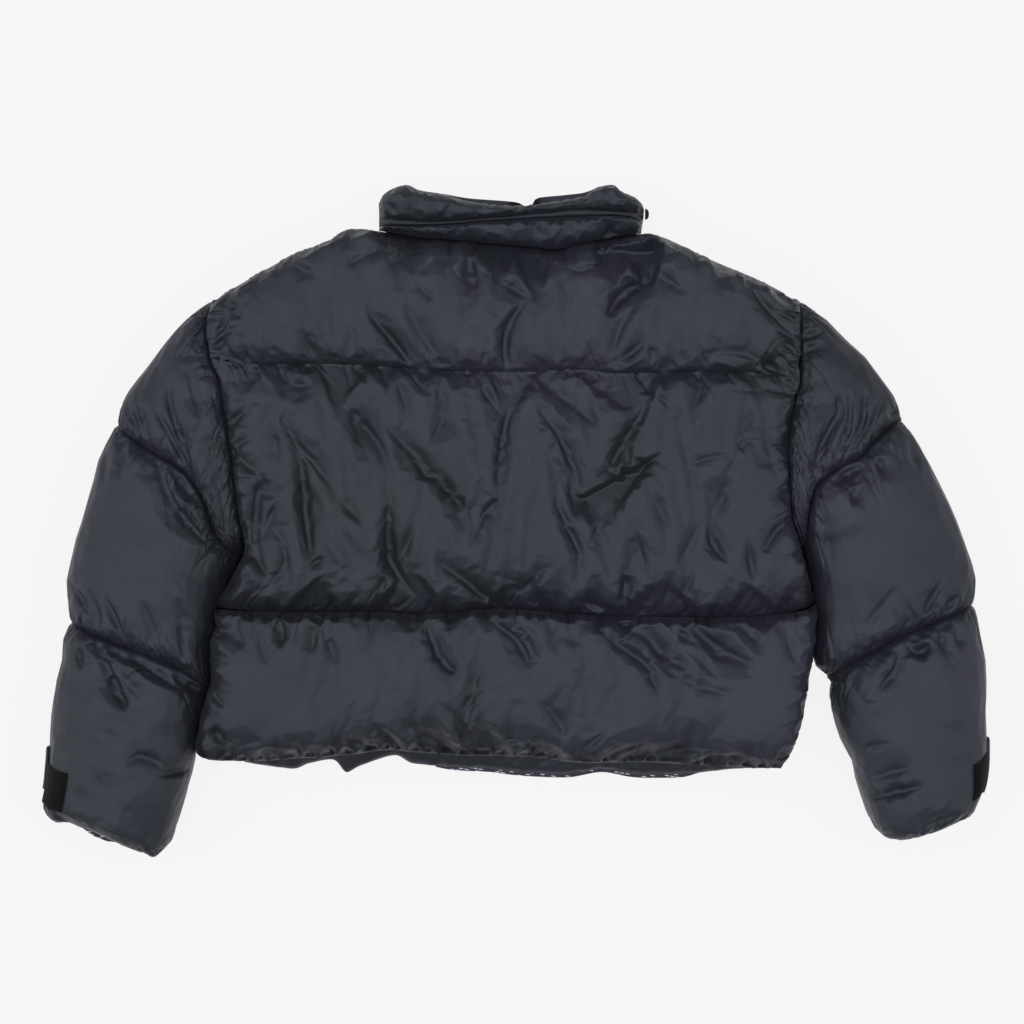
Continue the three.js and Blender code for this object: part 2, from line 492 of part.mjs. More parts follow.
for (const side of ['left', 'right']) {
  const x0 = side === 'left' ? -148 : ZIP_X + 3.1, x1 = side === 'left' ? ZIP_X - 3.1 : 137;
  const rows = { south: shifted(between(COLLAR_FOOT, x0, x1), 0, 1), north: between(COLLAR_FRONT, x0, x1) };
  const shape = plan({ ...rows, ...ends(rows.south, rows.north) });
  const toZip = (s, t) => (side === 'left' ? 1 - s : s) * shape.wide(t);
  const toEnd = (s, t) => (side === 'left' ? s : 1 - s) * shape.wide(t);
  const level = (s, t) => mix(14, COLLAR_LAYER, Math.max(fall(toEnd(s, t), 30), fall((1 - t) * shape.tall(s), 16)));
  const full = (s, t) => puff(t) * ease(toEnd(s, t), 26) * ease(toZip(s, t), 22);
  addMesh(`collar_front_${side}`, pad({
    shape, across: 9, along: 4,
    top: (s, t) => { const l = level(s, t); return l + (COLLAR_LAYER - l) * full(s, t); },
    bottom: (s, t) => Math.max((level(s, t) - EDGE) * clamp(1 - 1.7 * full(s, t), 0, 1), 9 * clamp((24 - toZip(s, t)) / 14, 0, 1)),
  }), COLOUR.shell);
}
{
  // small folded tape at the right end of the collar's seam line
  const outline = new THREE.Shape();
  outline.moveTo(0, 0);
  outline.lineTo(LOOP.reach, (LOOP.y1 - LOOP.y0) * 0.25);
  outline.lineTo(LOOP.reach, (LOOP.y1 - LOOP.y0) * 0.75);
  outline.lineTo(0, LOOP.y1 - LOOP.y0);
  outline.closePath();
  const tape = addMesh('collar_tape_end', new THREE.ExtrudeGeometry(outline, { depth: LOOP.tall, bevelEnabled: false }), COLOUR.tape, 0.8);
  tape.position.set(LOOP.x, LOOP.y0, LOOP.z - LOOP.tall);
}

// ---------------------------------------------------------------- hem facing and lining
{
  const inLining = (x) => x > LINING_SPAN.from && x < LINING_SPAN.to;
  const north = shifted(between(HEM, -300, 283), 0, -0.9);
  const south = FACING.map(([x, y]) => [clamp(x, -300, 283), y + (inLining(x) ? LINING_SPAN.show : 0)]);
  const shape = plan({ south, north, ...ends(south, north) });
  const height = (t) => mix(26, 39, Math.sqrt(t));
  addMesh('hem_facing', pad({ shape, across: 34, along: 2, even: true, top: (s, t) => height(t) + 1, bottom: (s, t) => height(t) - 1 }), COLOUR.shell);
  const edge = between(FACING, LINING_SPAN.from, LINING_SPAN.to);
  const upper = shifted(edge, 0, LINING_SPAN.show - 0.6);
  const strip = plan({ south: edge, north: upper, ...ends(edge, upper) });
  addMesh('hem_lining', pad({ shape: strip, across: 14, along: 1, even: true, top: () => 23.6, bottom: () => 22.2 }), COLOUR.lining, 0.7);
}

// ---------------------------------------------------------------- centre front zip
const ZIP_Y = { hem: -262, slider: 322, top: 343 };
const box = (x0, x1, y0, y1, z0, z1) => {
  const s = new THREE.Shape([new THREE.Vector2(x0, y0), new THREE.Vector2(x1, y0), new THREE.Vector2(x1, y1), new THREE.Vector2(x0, y1)]);
  const g = new THREE.ExtrudeGeometry(s, { depth: z1 - z0, bevelEnabled: false });
  g.translate(0, 0, z0);
  return g;
};
addMesh('zip_tape_left', box(ZIP_X - TAPE.outer, ZIP_X - TAPE.inner, ZIP_Y.hem, ZIP_Y.top, ZIP_Z - TAPE.thick / 2, ZIP_Z + TAPE.thick / 2), COLOUR.tape, 0.85);
addMesh('zip_tape_right', box(ZIP_X + TAPE.inner, ZIP_X + TAPE.outer, ZIP_Y.hem, ZIP_Y.top, ZIP_Z - TAPE.thick / 2, ZIP_Z + TAPE.thick / 2), COLOUR.tape, 0.85);
addMesh('zip_chain', box(ZIP_X - CHAIN.half, ZIP_X + CHAIN.half, ZIP_Y.hem, ZIP_Y.slider - SLIDER.length / 2 - 0.4, ZIP_Z - CHAIN.thick / 2, ZIP_Z + CHAIN.thick / 2), COLOUR.tape, 0.5);

const toSolid = (geometry) => {
  const g = geometry.clone();
  for (const key of Object.keys(g.attributes)) if (key !== 'position') g.deleteAttribute(key);
  const m = mergeVertices(g.index ? g.toNonIndexed() : g, 1e-4);
  return new wasm.Manifold(new wasm.Mesh({ numProp: 3, vertProperties: new Float32Array(m.attributes.position.array), triVerts: new Uint32Array(m.index.array) }));
};
const toGeometry = (manifold) => {
  const mesh = manifold.getMesh(), g = new THREE.BufferGeometry();
  g.setAttribute('position', new THREE.Float32BufferAttribute(mesh.vertProperties, 3));
  g.setIndex(Array.from(mesh.triVerts));
  g.computeVertexNormals();
  return g;
};
// slider: two plates with lips, a web between them and a bail under the outer plate
const zOut = ZIP_Z - SLIDER.space / 2, zIn = ZIP_Z + SLIDER.space / 2, half = SLIDER.length / 2;
const BAIL = { half: 0.8, y0: -4.2, y1: 4.2, reach: 3.0, bar: 1.0 };
{
  const bits = [
    box(ZIP_X - SLIDER.half, ZIP_X + SLIDER.half, ZIP_Y.slider - half, ZIP_Y.slider + half, zOut - SLIDER.plate, zOut),
    box(ZIP_X - SLIDER.half, ZIP_X + SLIDER.half, ZIP_Y.slider - half, ZIP_Y.slider + half, zIn, zIn + SLIDER.plate),
    box(ZIP_X - SLIDER.web, ZIP_X + SLIDER.web, ZIP_Y.slider - half + 2, ZIP_Y.slider + half, zOut - 0.1, zIn + 0.1),
    box(ZIP_X - BAIL.half, ZIP_X + BAIL.half, ZIP_Y.slider + BAIL.y0, ZIP_Y.slider + BAIL.y0 + BAIL.bar, zOut - SLIDER.plate - BAIL.reach, zOut - 0.3),
    box(ZIP_X - BAIL.half, ZIP_X + BAIL.half, ZIP_Y.slider + BAIL.y1 - BAIL.bar, ZIP_Y.slider + BAIL.y1, zOut - SLIDER.plate - BAIL.reach, zOut - 0.3),
    box(ZIP_X - BAIL.half, ZIP_X + BAIL.half, ZIP_Y.slider + BAIL.y0, ZIP_Y.slider + BAIL.y1, zOut - SLIDER.plate - BAIL.reach, zOut - SLIDER.plate - BAIL.reach + BAIL.bar),
  ].map(toSolid);
  addMesh('zip_slider', toGeometry(bits.reduce((a, b) => a.add(b))), COLOUR.metal, 0.35, 0.9);
}
// pull tab: cross bar through the bail, two arms and a plate towards the hem
const PIN = { y: ZIP_Y.slider + BAIL.y0 + BAIL.bar + 1.0, z: zOut - SLIDER.plate - 1.0 };
{
  const bar = new THREE.CylinderGeometry(PULL.bar, PULL.bar, 2 * 2.4, 12);
  bar.rotateZ(Math.PI / 2);
  bar.translate(ZIP_X, PIN.y, PIN.z);
  const arm = (sx) => box(ZIP_X + Math.min(sx * 1.4, sx * 2.4), ZIP_X + Math.max(sx * 1.4, sx * 2.4), PIN.y - PULL.arm - 1, PIN.y + 0.3, PIN.z - PULL.thick / 2 + 0.15, PIN.z + PULL.thick / 2 - 0.15);
  const plate = new THREE.Shape();
  const y0 = PIN.y - PULL.arm;
  plate.moveTo(ZIP_X - 2.4, y0);
  plate.lineTo(ZIP_X - PULL.half, y0 - 4);
  plate.lineTo(ZIP_X - PULL.half, y0 - PULL.tab + 2);
  plate.lineTo(ZIP_X - PULL.half + 2, y0 - PULL.tab);
  plate.lineTo(ZIP_X + PULL.half - 2, y0 - PULL.tab);
  plate.lineTo(ZIP_X + PULL.half, y0 - PULL.tab + 2);
  plate.lineTo(ZIP_X + PULL.half, y0 - 4);
  plate.lineTo(ZIP_X + 2.4, y0);
  plate.closePath();
  const tab = new THREE.ExtrudeGeometry(plate, { depth: PULL.thick, bevelEnabled: false });
  tab.translate(0, 0, PIN.z - PULL.thick / 2);
  const bits = [bar, arm(-1), arm(1), tab].map(toSolid);
  addMesh('zip_pull', toGeometry(bits.reduce((a, b) => a.add(b))), COLOUR.metal, 0.35, 0.9);
}

// ---------------------------------------------------------------- origin
// the middle of the outline's box on the surface
group.updateMatrixWorld(true);
const bounds = new THREE.Box3().setFromObject(group);
const OFFSET = [-(bounds.min.x + bounds.max.x) / 2, -(bounds.min.y + bounds.max.y) / 2, -bounds.min.z];
for (const mesh of group.children) {
  mesh.position.x += OFFSET[0];
  mesh.position.y += OFFSET[1];
  mesh.position.z += OFFSET[2];
}

export default group;
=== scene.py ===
# Puffer jacket laid flat on its front, back up. Looks for the imported frame:
# every baffle is a padded shell worked out from its seams, creased from
# the tables below, then relaxed as cloth over its filling, and meshed closed.
import bpy, math
import numpy as np
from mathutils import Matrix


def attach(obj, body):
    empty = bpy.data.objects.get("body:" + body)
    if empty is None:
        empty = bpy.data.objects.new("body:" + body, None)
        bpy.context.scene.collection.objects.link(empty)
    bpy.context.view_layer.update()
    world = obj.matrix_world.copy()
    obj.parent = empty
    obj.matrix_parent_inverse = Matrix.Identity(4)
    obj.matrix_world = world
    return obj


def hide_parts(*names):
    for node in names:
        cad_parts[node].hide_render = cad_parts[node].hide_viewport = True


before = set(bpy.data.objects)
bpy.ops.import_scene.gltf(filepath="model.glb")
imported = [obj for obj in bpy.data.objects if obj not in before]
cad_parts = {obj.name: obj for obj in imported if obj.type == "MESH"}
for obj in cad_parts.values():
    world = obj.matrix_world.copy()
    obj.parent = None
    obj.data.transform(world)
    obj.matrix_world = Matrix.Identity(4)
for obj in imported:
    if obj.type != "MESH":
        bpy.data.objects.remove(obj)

RNG = np.random.default_rng(20)

# ------------------------------------------------------------------ sizes, mm
OFF = (0.490, 1.012)        # the tables' origin in the frame
LAYER = 42.0                # where the two layers touch
CREST = {"yoke": 92.0, "mid": 93.0, "hem": 95.0}
VALLEY = 70.0               # stitched edges of the back layer away from the seams below
SEAM_1_Z, SEAM_2_Z = 81.5, 65.0
VALLEY_FRONT = 11.0
SLEEVE_CREST = 97.0
SLEEVE_SEAM = 79.0
SLEEVE_LOW = 9.0
STEP = 3.4
STEP_FRONT = 6.5
STEPS = 150
FINE_STEPS = 14

# ------------------------------------------------------------------ outlines, mm: x, y
SHOULDERS = [(-333, 239), (-296, 262), (-257, 284), (-238, 293), (-206, 306), (-183, 315), (-152, 313),
    (-112, 305), (-63, 301), (-32, 298), (23, 293), (46, 291), (74, 298), (105, 304), (140, 310),
    (165, 305), (216, 284), (268, 262), (312, 238)]
SEAM_1 = [(-331, 174), (-296, 168), (-242, 168), (-184, 168), (-125, 164), (-79, 161), (-33, 160), (21, 160),
    (70, 163), (105, 158), (156, 159), (218, 160), (267, 158), (307, 148)]
SEAM_2 = [(-333, -98), (-315, -100), (-265, -101), (-219, -102), (-150, -101), (-102, -104), (-33, -98),
    (33, -101), (95, -106), (169, -107), (218, -107), (267, -106), (312, -100), (331, -91)]
HEM = [(-351, -254), (-344, -261), (-323, -265), (-288, -266), (-242, -263), (-207, -261), (-173, -258),
    (-138, -254), (-114, -256), (-56, -260), (4, -261), (29, -263), (70, -267), (144, -268), (194, -270),
    (243, -272), (284, -273), (295, -268)]
ARM_L = [(-333, 239), (-337, 221), (-337, 197), (-331, 174), (-323, 151), (-318, 116), (-315, 100),
    (-308, 53), (-301, -2), (-298, -35)]
ARM_R = [(312, 238), (310, 207), (309, 179), (307, 148), (298, 104), (296, 75), (297, 37), (300, 2), (312, -29)]
SIDE_L = [(-298, -35), (-315, -67), (-333, -98), (-331, -120), (-337, -137), (-336, -179), (-345, -207),
    (-352, -237), (-351, -254)]
SIDE_R = [(312, -29), (323, -67), (331, -91), (332, -104), (328, -146), (323, -172), (315, -219), (305, -247),
    (295, -268)]
SLEEVES = {
    "left": dict(
        seam1=[(-437, 103), (-430, 95), (-397, 73), (-364, 53), (-342, 24), (-326, -20), (-305, -40)],
        seam2=[(-488, -114), (-451, -130), (-414, -144), (-369, -162), (-343, -186)],
        cuff=[(-517, -323), (-504, -332), (-488, -332), (-459, -342), (-435, -354), (-408, -365), (-395, -370), (-383, -359)],
        outer=[
            [(-333, 239), (-361, 218), (-381, 196), (-397, 174), (-415, 152), (-430, 130), (-437, 103)],
            [(-437, 103), (-447, 86), (-457, 64), (-462, 42), (-469, 20), (-475, -2), (-482, -24), (-487, -46), (-492, -68), (-490, -90), (-488, -114)],
            [(-488, -114), (-496, -134), (-497, -156), (-503, -178), (-507, -200), (-509, -222), (-510, -244), (-511, -266), (-513, -288), (-518, -311), (-517, -323)]],
        inner=[
            [(-298, -35), (-305, -40)],
            [(-305, -40), (-319, -67), (-337, -98), (-337, -120), (-342, -137), (-342, -180), (-343, -186)],
            [(-343, -186), (-351, -207), (-357, -237), (-357, -272), (-372, -325), (-377, -340), (-383, -359)]]),
    "right": dict(
        seam1=[(424, 103), (416, 107), (389, 83), (373, 67), (343, 50), (325, 32), (319, 4), (317, -33)],
        seam2=[(501, -95), (448, -116), (414, -130), (385, -147), (348, -172)],
        cuff=[(502, -315), (494, -327), (481, -332), (462, -340), (441, -347), (418, -351), (402, -347), (393, -333)],
        outer=[
            [(312, 238), (339, 218), (360, 196), (384, 174), (399, 152), (415, 130), (424, 103)],
            [(424, 103), (437, 86), (450, 64), (461, 42), (472, 20), (482, -2), (490, -24), (498, -46), (504, -68), (501, -95)],
            [(501, -95), (506, -112), (510, -134), (514, -156), (515, -178), (515, -200), (514, -222), (515, -244), (514, -266), (512, -288), (502, -315)]],
        inner=[
            [(312, -29), (317, -33)],
            [(317, -33), (328, -67), (337, -91), (338, -104), (334, -146), (336, -160), (348, -172)],
            [(348, -172), (353, -182), (353, -200), (358, -222), (365, -244), (372, -266), (377, -288), (385, -310), (393, -333)]]),
}
COLLAR_TOP = [(-151, 347), (-146, 357), (-135, 364), (-120, 368), (-106, 362), (-82, 358), (-52, 349),
    (-12, 343), (15, 343), (48, 348), (74, 354), (89, 364), (107, 368), (116, 360), (134, 351), (141, 341)]
COLLAR_STITCH = [(-151, 329), (-92, 325), (-32, 329), (29, 335), (79, 338), (141, 334)]
COLLAR_LINE = [(-151, 321), (-108, 320), (-67, 322), (-32, 325), (15, 328), (74, 331), (109, 331), (140, 327)]
COLLAR_FOOT = [(-151, 317), (-112, 309), (-63, 305), (-32, 302), (23, 297), (46, 295), (74, 302), (105, 308), (138, 314)]
COLLAR_FRONT = [(-148, 347), (-135, 362), (-120, 367), (-106, 361), (-82, 359), (-52, 354), (-12, 351), (3, 349),
    (11, 344), (17, 344), (23, 354), (48, 357), (74, 360), (89, 365), (107, 367), (134, 350), (139, 339)]
FACING = [(-300, -270), (-248, -277), (-229, -271), (-202, -267), (-188, -281), (-173, -274), (-135, -262),
    (-114, -271), (-68, -279), (-29, -281), (4, -285), (57, -287), (95, -281), (132, -287), (182, -287),
    (206, -281), (243, -277), (284, -276)]
CUFF_LINING = [(-490, -336), (-477, -342), (-466, -350), (-451, -356), (-437, -357)]
ZIP_X, ZIP_CHANNEL = 14.0, 12.3

# ------------------------------------------------------------------ creases, mm
# D sharp trough, V strong trough, S soft, B broad, T thin, R ridge, then its course
CREASES = {}
CREASES["yoke"] = [
    ("D", 1, [(-310, 225), (-315, 211), (-328, 194)]), ("D", -1, [(-310, 200), (-327, 184)]),
    ("S", 1, [(-309, 235), (-297, 216)]), ("D", 1, [(-323, 179), (-294, 167), (-279, 156)]),
    ("T", -1, [(-234, 204), (-217, 173)]), ("S", 0, [(-240, 276), (-217, 262)]),
    ("D", -1, [(-158, 221), (-138, 197), (-114, 167)]), ("S", -1, [(-119, 229), (-98, 193), (-79, 167)]),
    ("T", 1, [(-108, 256), (-89, 235)]), ("T", 1, [(-70, 272), (-56, 256)]),
    ("D", -1, [(9, 236), (-11, 203), (-12, 160)]), ("B", 1, [(-51, 282), (-45, 247)]),
    ("S", -1, [(-182, 274), (-150, 290), (-114, 302)]), ("S", 1, [(-138, 274), (-114, 290), (-79, 290)]),
    ("S", 1, [(-102, 267), (-87, 281), (-56, 281)]), ("D", 1, [(-26, 262), (-7, 252), (11, 239)]),
    ("T", 1, [(-4, 262), (6, 243)]), ("R", 1, [(15, 235), (29, 265), (38, 255)]),
    ("D", -1, [(53, 272), (70, 268), (87, 272), (100, 262)]),
    ("V", -1, [(147, 270), (144, 258), (120, 248), (107, 233), (100, 219)]),
    ("S", 1, [(148, 274), (168, 255), (182, 245)]), ("D", 0, [(253, 252), (267, 233), (283, 215), (302, 196)]),
    ("D", 1, [(277, 255), (295, 238), (309, 225)]), ("D", -1, [(279, 225), (295, 218), (309, 212)]),
    ("D", 1, [(283, 201), (295, 189), (305, 179)]), ("D", 1, [(279, 183), (293, 169), (305, 157)]),
    ("V", -1, [(265, 169), (279, 161), (297, 151)]), ("S", -1, [(105, 179), (112, 206), (130, 235)]),
    ("D", -1, [(100, 167), (117, 173), (140, 191)]), ("T", -1, [(142, 191), (148, 173)]),
    ("S", -1, [(208, 179), (243, 179), (265, 169)]),
]
CREASES["mid"] = [
    ("S", -1, [(-317, 148), (-279, 151)]), ("D", 1, [(-256, 156), (-238, 144), (-221, 146)]),
    ("D", -1, [(-40, 153), (-33, 135), (-16, 114)]), ("D", 1, [(-315, 100), (-294, 116)]),
    ("D", 0, [(-312, 53), (-302, 79), (-289, 85)]), ("D", -1, [(-305, 72), (-284, 51), (-273, 43)]),
    ("B", -1, [(-273, 43), (-279, 20)]), ("S", 1, [(-262, 97), (-258, 64)]),
    ("D", -1, [(-253, 108), (-235, 76), (-219, 60), (-200, 35)]),
    ("V", -1, [(-234, 74), (-229, 20), (-228, 6), (-222, -42)]), ("R", 1, [(-229, 46), (-161, -24), (-140, -65)]),
    ("R", -1, [(-194, 118), (-182, 81), (-161, 53)]), ("B", 1, [(-179, 118), (-150, 81), (-142, 64)]),
    ("B", -1, [(-135, 95), (-100, 58), (-70, 29), (-56, -8)]), ("D", -1, [(-4, 141), (-14, 92), (-21, 38)]),
    ("V", -1, [(-278, 39), (-284, -13), (-279, -46), (-271, -61)]), ("D", -1, [(-258, 20), (-277, -24)]),
    ("V", 1, [(-296, -45), (-312, -80), (-319, -107)]),
    ("D", -1, [(-256, -15), (-250, -47), (-268, -73), (-284, -78)]), ("D", 1, [(-221, -52), (-212, -40)]),
    ("R", -1, [(-205, -21), (-179, -61)]), ("V", 0, [(-138, 10), (-138, -38), (-131, -57), (-112, -82)]),
    ("D", 1, [(-112, -13), (-125, -45)]), ("D", -1, [(-150, -92), (-140, -61)]),
    ("V", -1, [(-84, -47), (-58, -65), (-33, -86), (-14, -98)]), ("S", 1, [(-35, 39), (-44, 6), (-47, -24)]),
    ("D", -1, [(-21, 20), (-35, 4), (-47, -21)]), ("R", -1, [(-33, 4), (-42, -47), (-37, -80)]),
    ("S", -1, [(-23, -61), (4, -71)]), ("B", -1, [(23, 153), (57, 127), (87, 102)]),
    ("S", 0, [(-29, 131), (-16, 112)]), ("S", 1, [(77, 147), (97, 137), (110, 140)]),
    ("T", 0, [(144, 136), (164, 124), (180, 108)]), ("V", 0, [(142, 124), (130, 105), (120, 87), (100, 52)]),
    ("D", -1, [(122, 90), (120, 65), (117, 46)]), ("S", 1, [(85, 42), (110, 54)]),
    ("R", -1, [(15, 114), (35, 92), (53, 50), (58, 20)]), ("D", -1, [(24, 117), (44, 92), (63, 50), (68, 20)]),
    ("T", 1, [(188, 40), (196, 62), (235, 70)]), ("T", 1, [(233, 56), (245, 82), (265, 85)]),
    ("S", 1, [(243, 95), (257, 114)]), ("S", 1, [(270, 112), (277, 62), (293, 23)]),
    ("D", 1, [(293, 92), (302, 70), (315, 52)]), ("D", -1, [(267, 141), (305, 134)]),
    ("T", 1, [(226, 141), (265, 137)]), ("D", 0, [(43, 20), (55, -9), (67, -35), (66, -64)]),
    ("B", -1, [(45, 64), (61, 27), (65, 3)]), ("S", -1, [(97, 15), (85, -21), (77, -31)]),
    ("D", -1, [(208, -7), (213, -29), (228, -47)]),
    ("D", -1, [(250, -29), (257, -69)]), ("D", 1, [(297, 1), (279, -17), (265, -41)]),
    ("S", 0, [(174, -51), (188, -27), (201, -3)]), ("S", 1, [(130, -19), (140, -59)]),
    ("D", -1, [(-16, -57), (4, -79), (33, -52)]), ("D", 1, [(117, -87), (119, -62)]),
    ("D", 0, [(162, -90), (166, -65)]), ("D", 0, [(178, -90), (191, -63)]), ("V", -1, [(70, -89), (105, -104)]),
    ("V", -1, [(319, -69), (322, -90)]), ("S", 0, [(-84, 147), (-79, 108), (-95, 75)]),
    ("S", -1, [(-128, 147), (-117, 119)]), ("S", 1, [(202, 147), (191, 119)]), ("S", 1, [(153, 20), (164, -13)]),
    ("S", 1, [(230, 42), (219, 9)]), ("S", 1, [(-183, 20), (-169, -2)]),
]
CREASES["hem"] = [
    ("V", 1, [(105, -107), (127, -118)]), ("S", 1, [(-305, -107), (-300, -129), (-292, -140)]),
    ("S", -1, [(-278, -122), (-270, -158)]), ("D", 1, [(-254, -107), (-252, -140)]),
    ("S", 1, [(-219, -112), (-219, -145)]), ("D", -1, [(-98, -111), (-89, -138), (-79, -157), (-63, -169)]),
    ("D", 1, [(-35, -103), (-2, -128), (11, -148), (15, -162)]), ("S", 1, [(-41, -163), (-49, -196), (-54, -228)]),
    ("B", 0, [(-75, -205), (-56, -229), (-44, -255)]), ("B", -1, [(-123, -222), (-70, -255)]),
    ("D", 1, [(-154, -224), (-131, -245)]), ("D", -1, [(-186, -238), (-150, -255)]),
    ("V", 1, [(-326, -224), (-321, -238), (-307, -243)]), ("D", -1, [(-333, -186), (-317, -203)]),
    ("S", -1, [(-317, -261), (-300, -247), (-277, -240)]), ("S", -1, [(-1, -106), (19, -130), (24, -148)]),
    ("S", 1, [(35, -106), (43, -123), (73, -134)]), ("D", 0, [(85, -116), (114, -140), (140, -158), (152, -185)]),
    ("B", -1, [(110, -118), (140, -126), (158, -146), (184, -162)]), ("D", 1, [(162, -111), (184, -128), (198, -135)]),
    ("S", 0, [(182, -140), (198, -152), (218, -172)]), ("B", 1, [(191, -116), (218, -140), (250, -156)]),
    ("S", 0, [(238, -111), (267, -138)]), ("S", -1, [(166, -166), (194, -180), (233, -190)]),
    ("S", -1, [(31, -200), (45, -217), (55, -237)]), ("T", -1, [(73, -251), (97, -230)]),
    ("D", -1, [(-29, -251), (-9, -241), (11, -244), (31, -263)]), ("D", -1, [(100, -261), (130, -246)]),
    ("B", -1, [(110, -263), (184, -251), (228, -251)]), ("D", -1, [(186, -269), (218, -261), (243, -258)]),
    ("S", 0, [(-210, -117), (-194, -156)]), ("S", 0, [(290, -112), (301, -156)]),
]
CREASES["sl_upper"] = [
    ("D", -1, [(-376, 152), (-374, 120), (-352, 54)]), ("D", -1, [(-389, 117), (-369, 80), (-348, 38)]),
    ("D", -1, [(-410, 125), (-397, 83)]), ("D", -1, [(-422, 120), (-410, 92)]),
    ("S", 0, [(-348, 196), (-352, 152), (-337, 97)]), ("S", 0, [(-331, 86), (-320, 31), (-312, -13)]),
]
CREASES["sl_middle"] = [
    ("D", 1, [(-427, 87), (-429, 46)]), ("V", 1, [(-389, 63), (-373, 21), (-355, -4), (-336, -25)]),
    ("V", 1, [(-369, 50), (-348, 20)]), ("D", -1, [(-485, -71), (-463, -103)]), ("D", -1, [(-462, -79), (-451, -117)]),
    ("D", 0, [(-443, -87), (-425, -125)]), ("S", 1, [(-403, -90), (-386, -139)]),
    ("S", 1, [(-364, -90), (-359, -145)]), ("S", -1, [(-447, 81), (-449, 42)]),
]
CREASES["sl_cuff"] = [
    ("V", 1, [(-455, -134), (-439, -167), (-422, -204)]), ("D", 1, [(-443, -139), (-410, -156)]),
    ("V", -1, [(-422, -145), (-397, -162), (-364, -185)]), ("S", -1, [(-435, -158), (-410, -191)]),
    ("V", 1, [(-373, -169), (-339, -191)]), ("S", 0, [(-422, -266), (-406, -256), (-376, -270)]),
    ("D", -1, [(-385, -279), (-355, -274)]), ("D", -1, [(-480, -134), (-471, -164)]),
]
CREASES["sr_upper"] = [
    ("V", -1, [(348, 129), (348, 113), (331, 80), (322, 46)]), ("D", 1, [(362, 134), (360, 96), (343, 63)]),
    ("D", 1, [(378, 138), (376, 104), (355, 67)]), ("D", 1, [(397, 129), (385, 96), (369, 75)]),
    ("D", 1, [(416, 120), (414, 108)]), ("D", -1, [(309, 194), (331, 202)]), ("D", 1, [(309, 179), (329, 190)]),
    ("S", -1, [(321, 130), (317, 86)]),
]
CREASES["sr_middle"] = [
    ("V", 1, [(343, 40), (373, 58)]), ("D", -1, [(371, 42), (362, 13)]), ("D", -1, [(393, 67), (397, 42)]),
    ("D", 1, [(460, -71), (442, -103)]), ("D", 1, [(481, -83), (466, -101)]), ("S", -1, [(406, -79), (378, -117)]),
    ("S", -1, [(428, 86), (436, 53)]), ("S", -1, [(334, -2), (341, -46)]),
]
CREASES["sr_cuff"] = [
    ("D", -1, [(416, -139), (410, -162), (393, -185)]), ("V", -1, [(422, -135), (435, -146), (448, -137)]),
    ("R", -1, [(373, -179), (389, -207)]), ("D", -1, [(460, -120), (462, -146)]),
    ("D", -1, [(476, -112), (481, -141)]), ("T", 1, [(369, -251), (406, -241)]), ("S", 0, [(389, -281), (422, -270)]),
    ("D", -1, [(389, -303), (439, -289)]), ("D", -1, [(435, -337), (476, -320)]),
]

KINDS = {  # reach on the shaded side, depth, reach on the lit side
    "D": (9.0, 7.6, 19.0), "V": (13.0, 12.5, 25.0), "S": (12.0, 5.2, 23.0), "B": (20.0, 11.0, 36.0), "T": (5.0, 3.4, 10.0), "R": (9.0, -6.0, 15.0),
}


# ------------------------------------------------------------------ curves and plans
def smooth_rows(rows, per=8, soft=True):
    p = np.array(rows, float)
    if not soft or len(p) < 3:
        return p
    q = np.vstack([2 * p[0] - p[1], p, 2 * p[-1] - p[-2]])
    u = np.linspace(0, 1, per, endpoint=False)[:, None]
    out = []
    for i in range(1, len(q) - 2):
        a, b, c, d = q[i - 1], q[i], q[i + 1], q[i + 2]
        # half-tension Catmull-Rom keeps the tables' corners tidy
        m1, m2 = 0.42 * (c - a), 0.42 * (d - b)
        h = ((2 * u**3 - 3 * u**2 + 1) * b + (u**3 - 2 * u**2 + u) * m1 + (-2 * u**3 + 3 * u**2) * c + (u**3 - u**2) * m2)
        out.append(h)
    out.append(p[-1:])
    return np.vstack(out)


def curve(rows, soft=True):
    p = smooth_rows(rows, soft=soft)
    d = np.r_[0, np.cumsum(np.hypot(*np.diff(p, axis=0).T))]
    d /= d[-1]
    return lambda u: np.stack([np.interp(u, d, p[:, 0]), np.interp(u, d, p[:, 1])], -1)


def between(rows, x0, x1):
    r = np.array(rows, float)
    y0, y1 = np.interp([x0, x1], r[:, 0], r[:, 1])
    inside = [tuple(v) for v in rows if x0 + 0.5 < v[0] < x1 - 0.5]
    return [(x0, y0), *inside, (x1, y1)]


def plan(south, north, west, east, nx, ny, gap=(0.25, 0.25, 0.25, 0.25), s=None, t=None, soft=True):
    s = np.linspace(0, 1, nx + 1) if s is None else s
    t = np.linspace(0, 1, ny + 1) if t is None else t
    S, N, W, E = (curve(c, soft) for c in (south, north, west, east))
    def raw(s, t):
        cs, cn, cw, ce = S(s), N(s), W(t), E(t)
        s, t = s[..., None], t[..., None]
        z, o = np.zeros(1), np.ones(1)
        c00, c10, c01, c11 = S(z)[0], S(o)[0], N(z)[0], N(o)[0]
        return ((1 - t) * cs + t * cn + (1 - s) * cw + s * ce
                - ((1 - s) * (1 - t) * c00 + s * (1 - t) * c10 + (1 - s) * t * c01 + s * t * c11))
    ss, tt = np.meshgrid(s, t)
    wide = np.hypot(*(raw(np.ones_like(t), t) - raw(np.zeros_like(t), t)).T)[:, None]
    tall = np.hypot(*(raw(s, np.ones_like(s)) - raw(s, np.zeros_like(s))).T)[None, :]
    s1 = gap[2] / wide + ss * (1 - (gap[2] + gap[3]) / wide)
    t1 = gap[0] / tall + tt * (1 - (gap[0] + gap[1]) / tall)
    xy = raw(s1, t1)
    return xy, ss, tt, wide * np.ones_like(ss), tall * np.ones_like(ss)


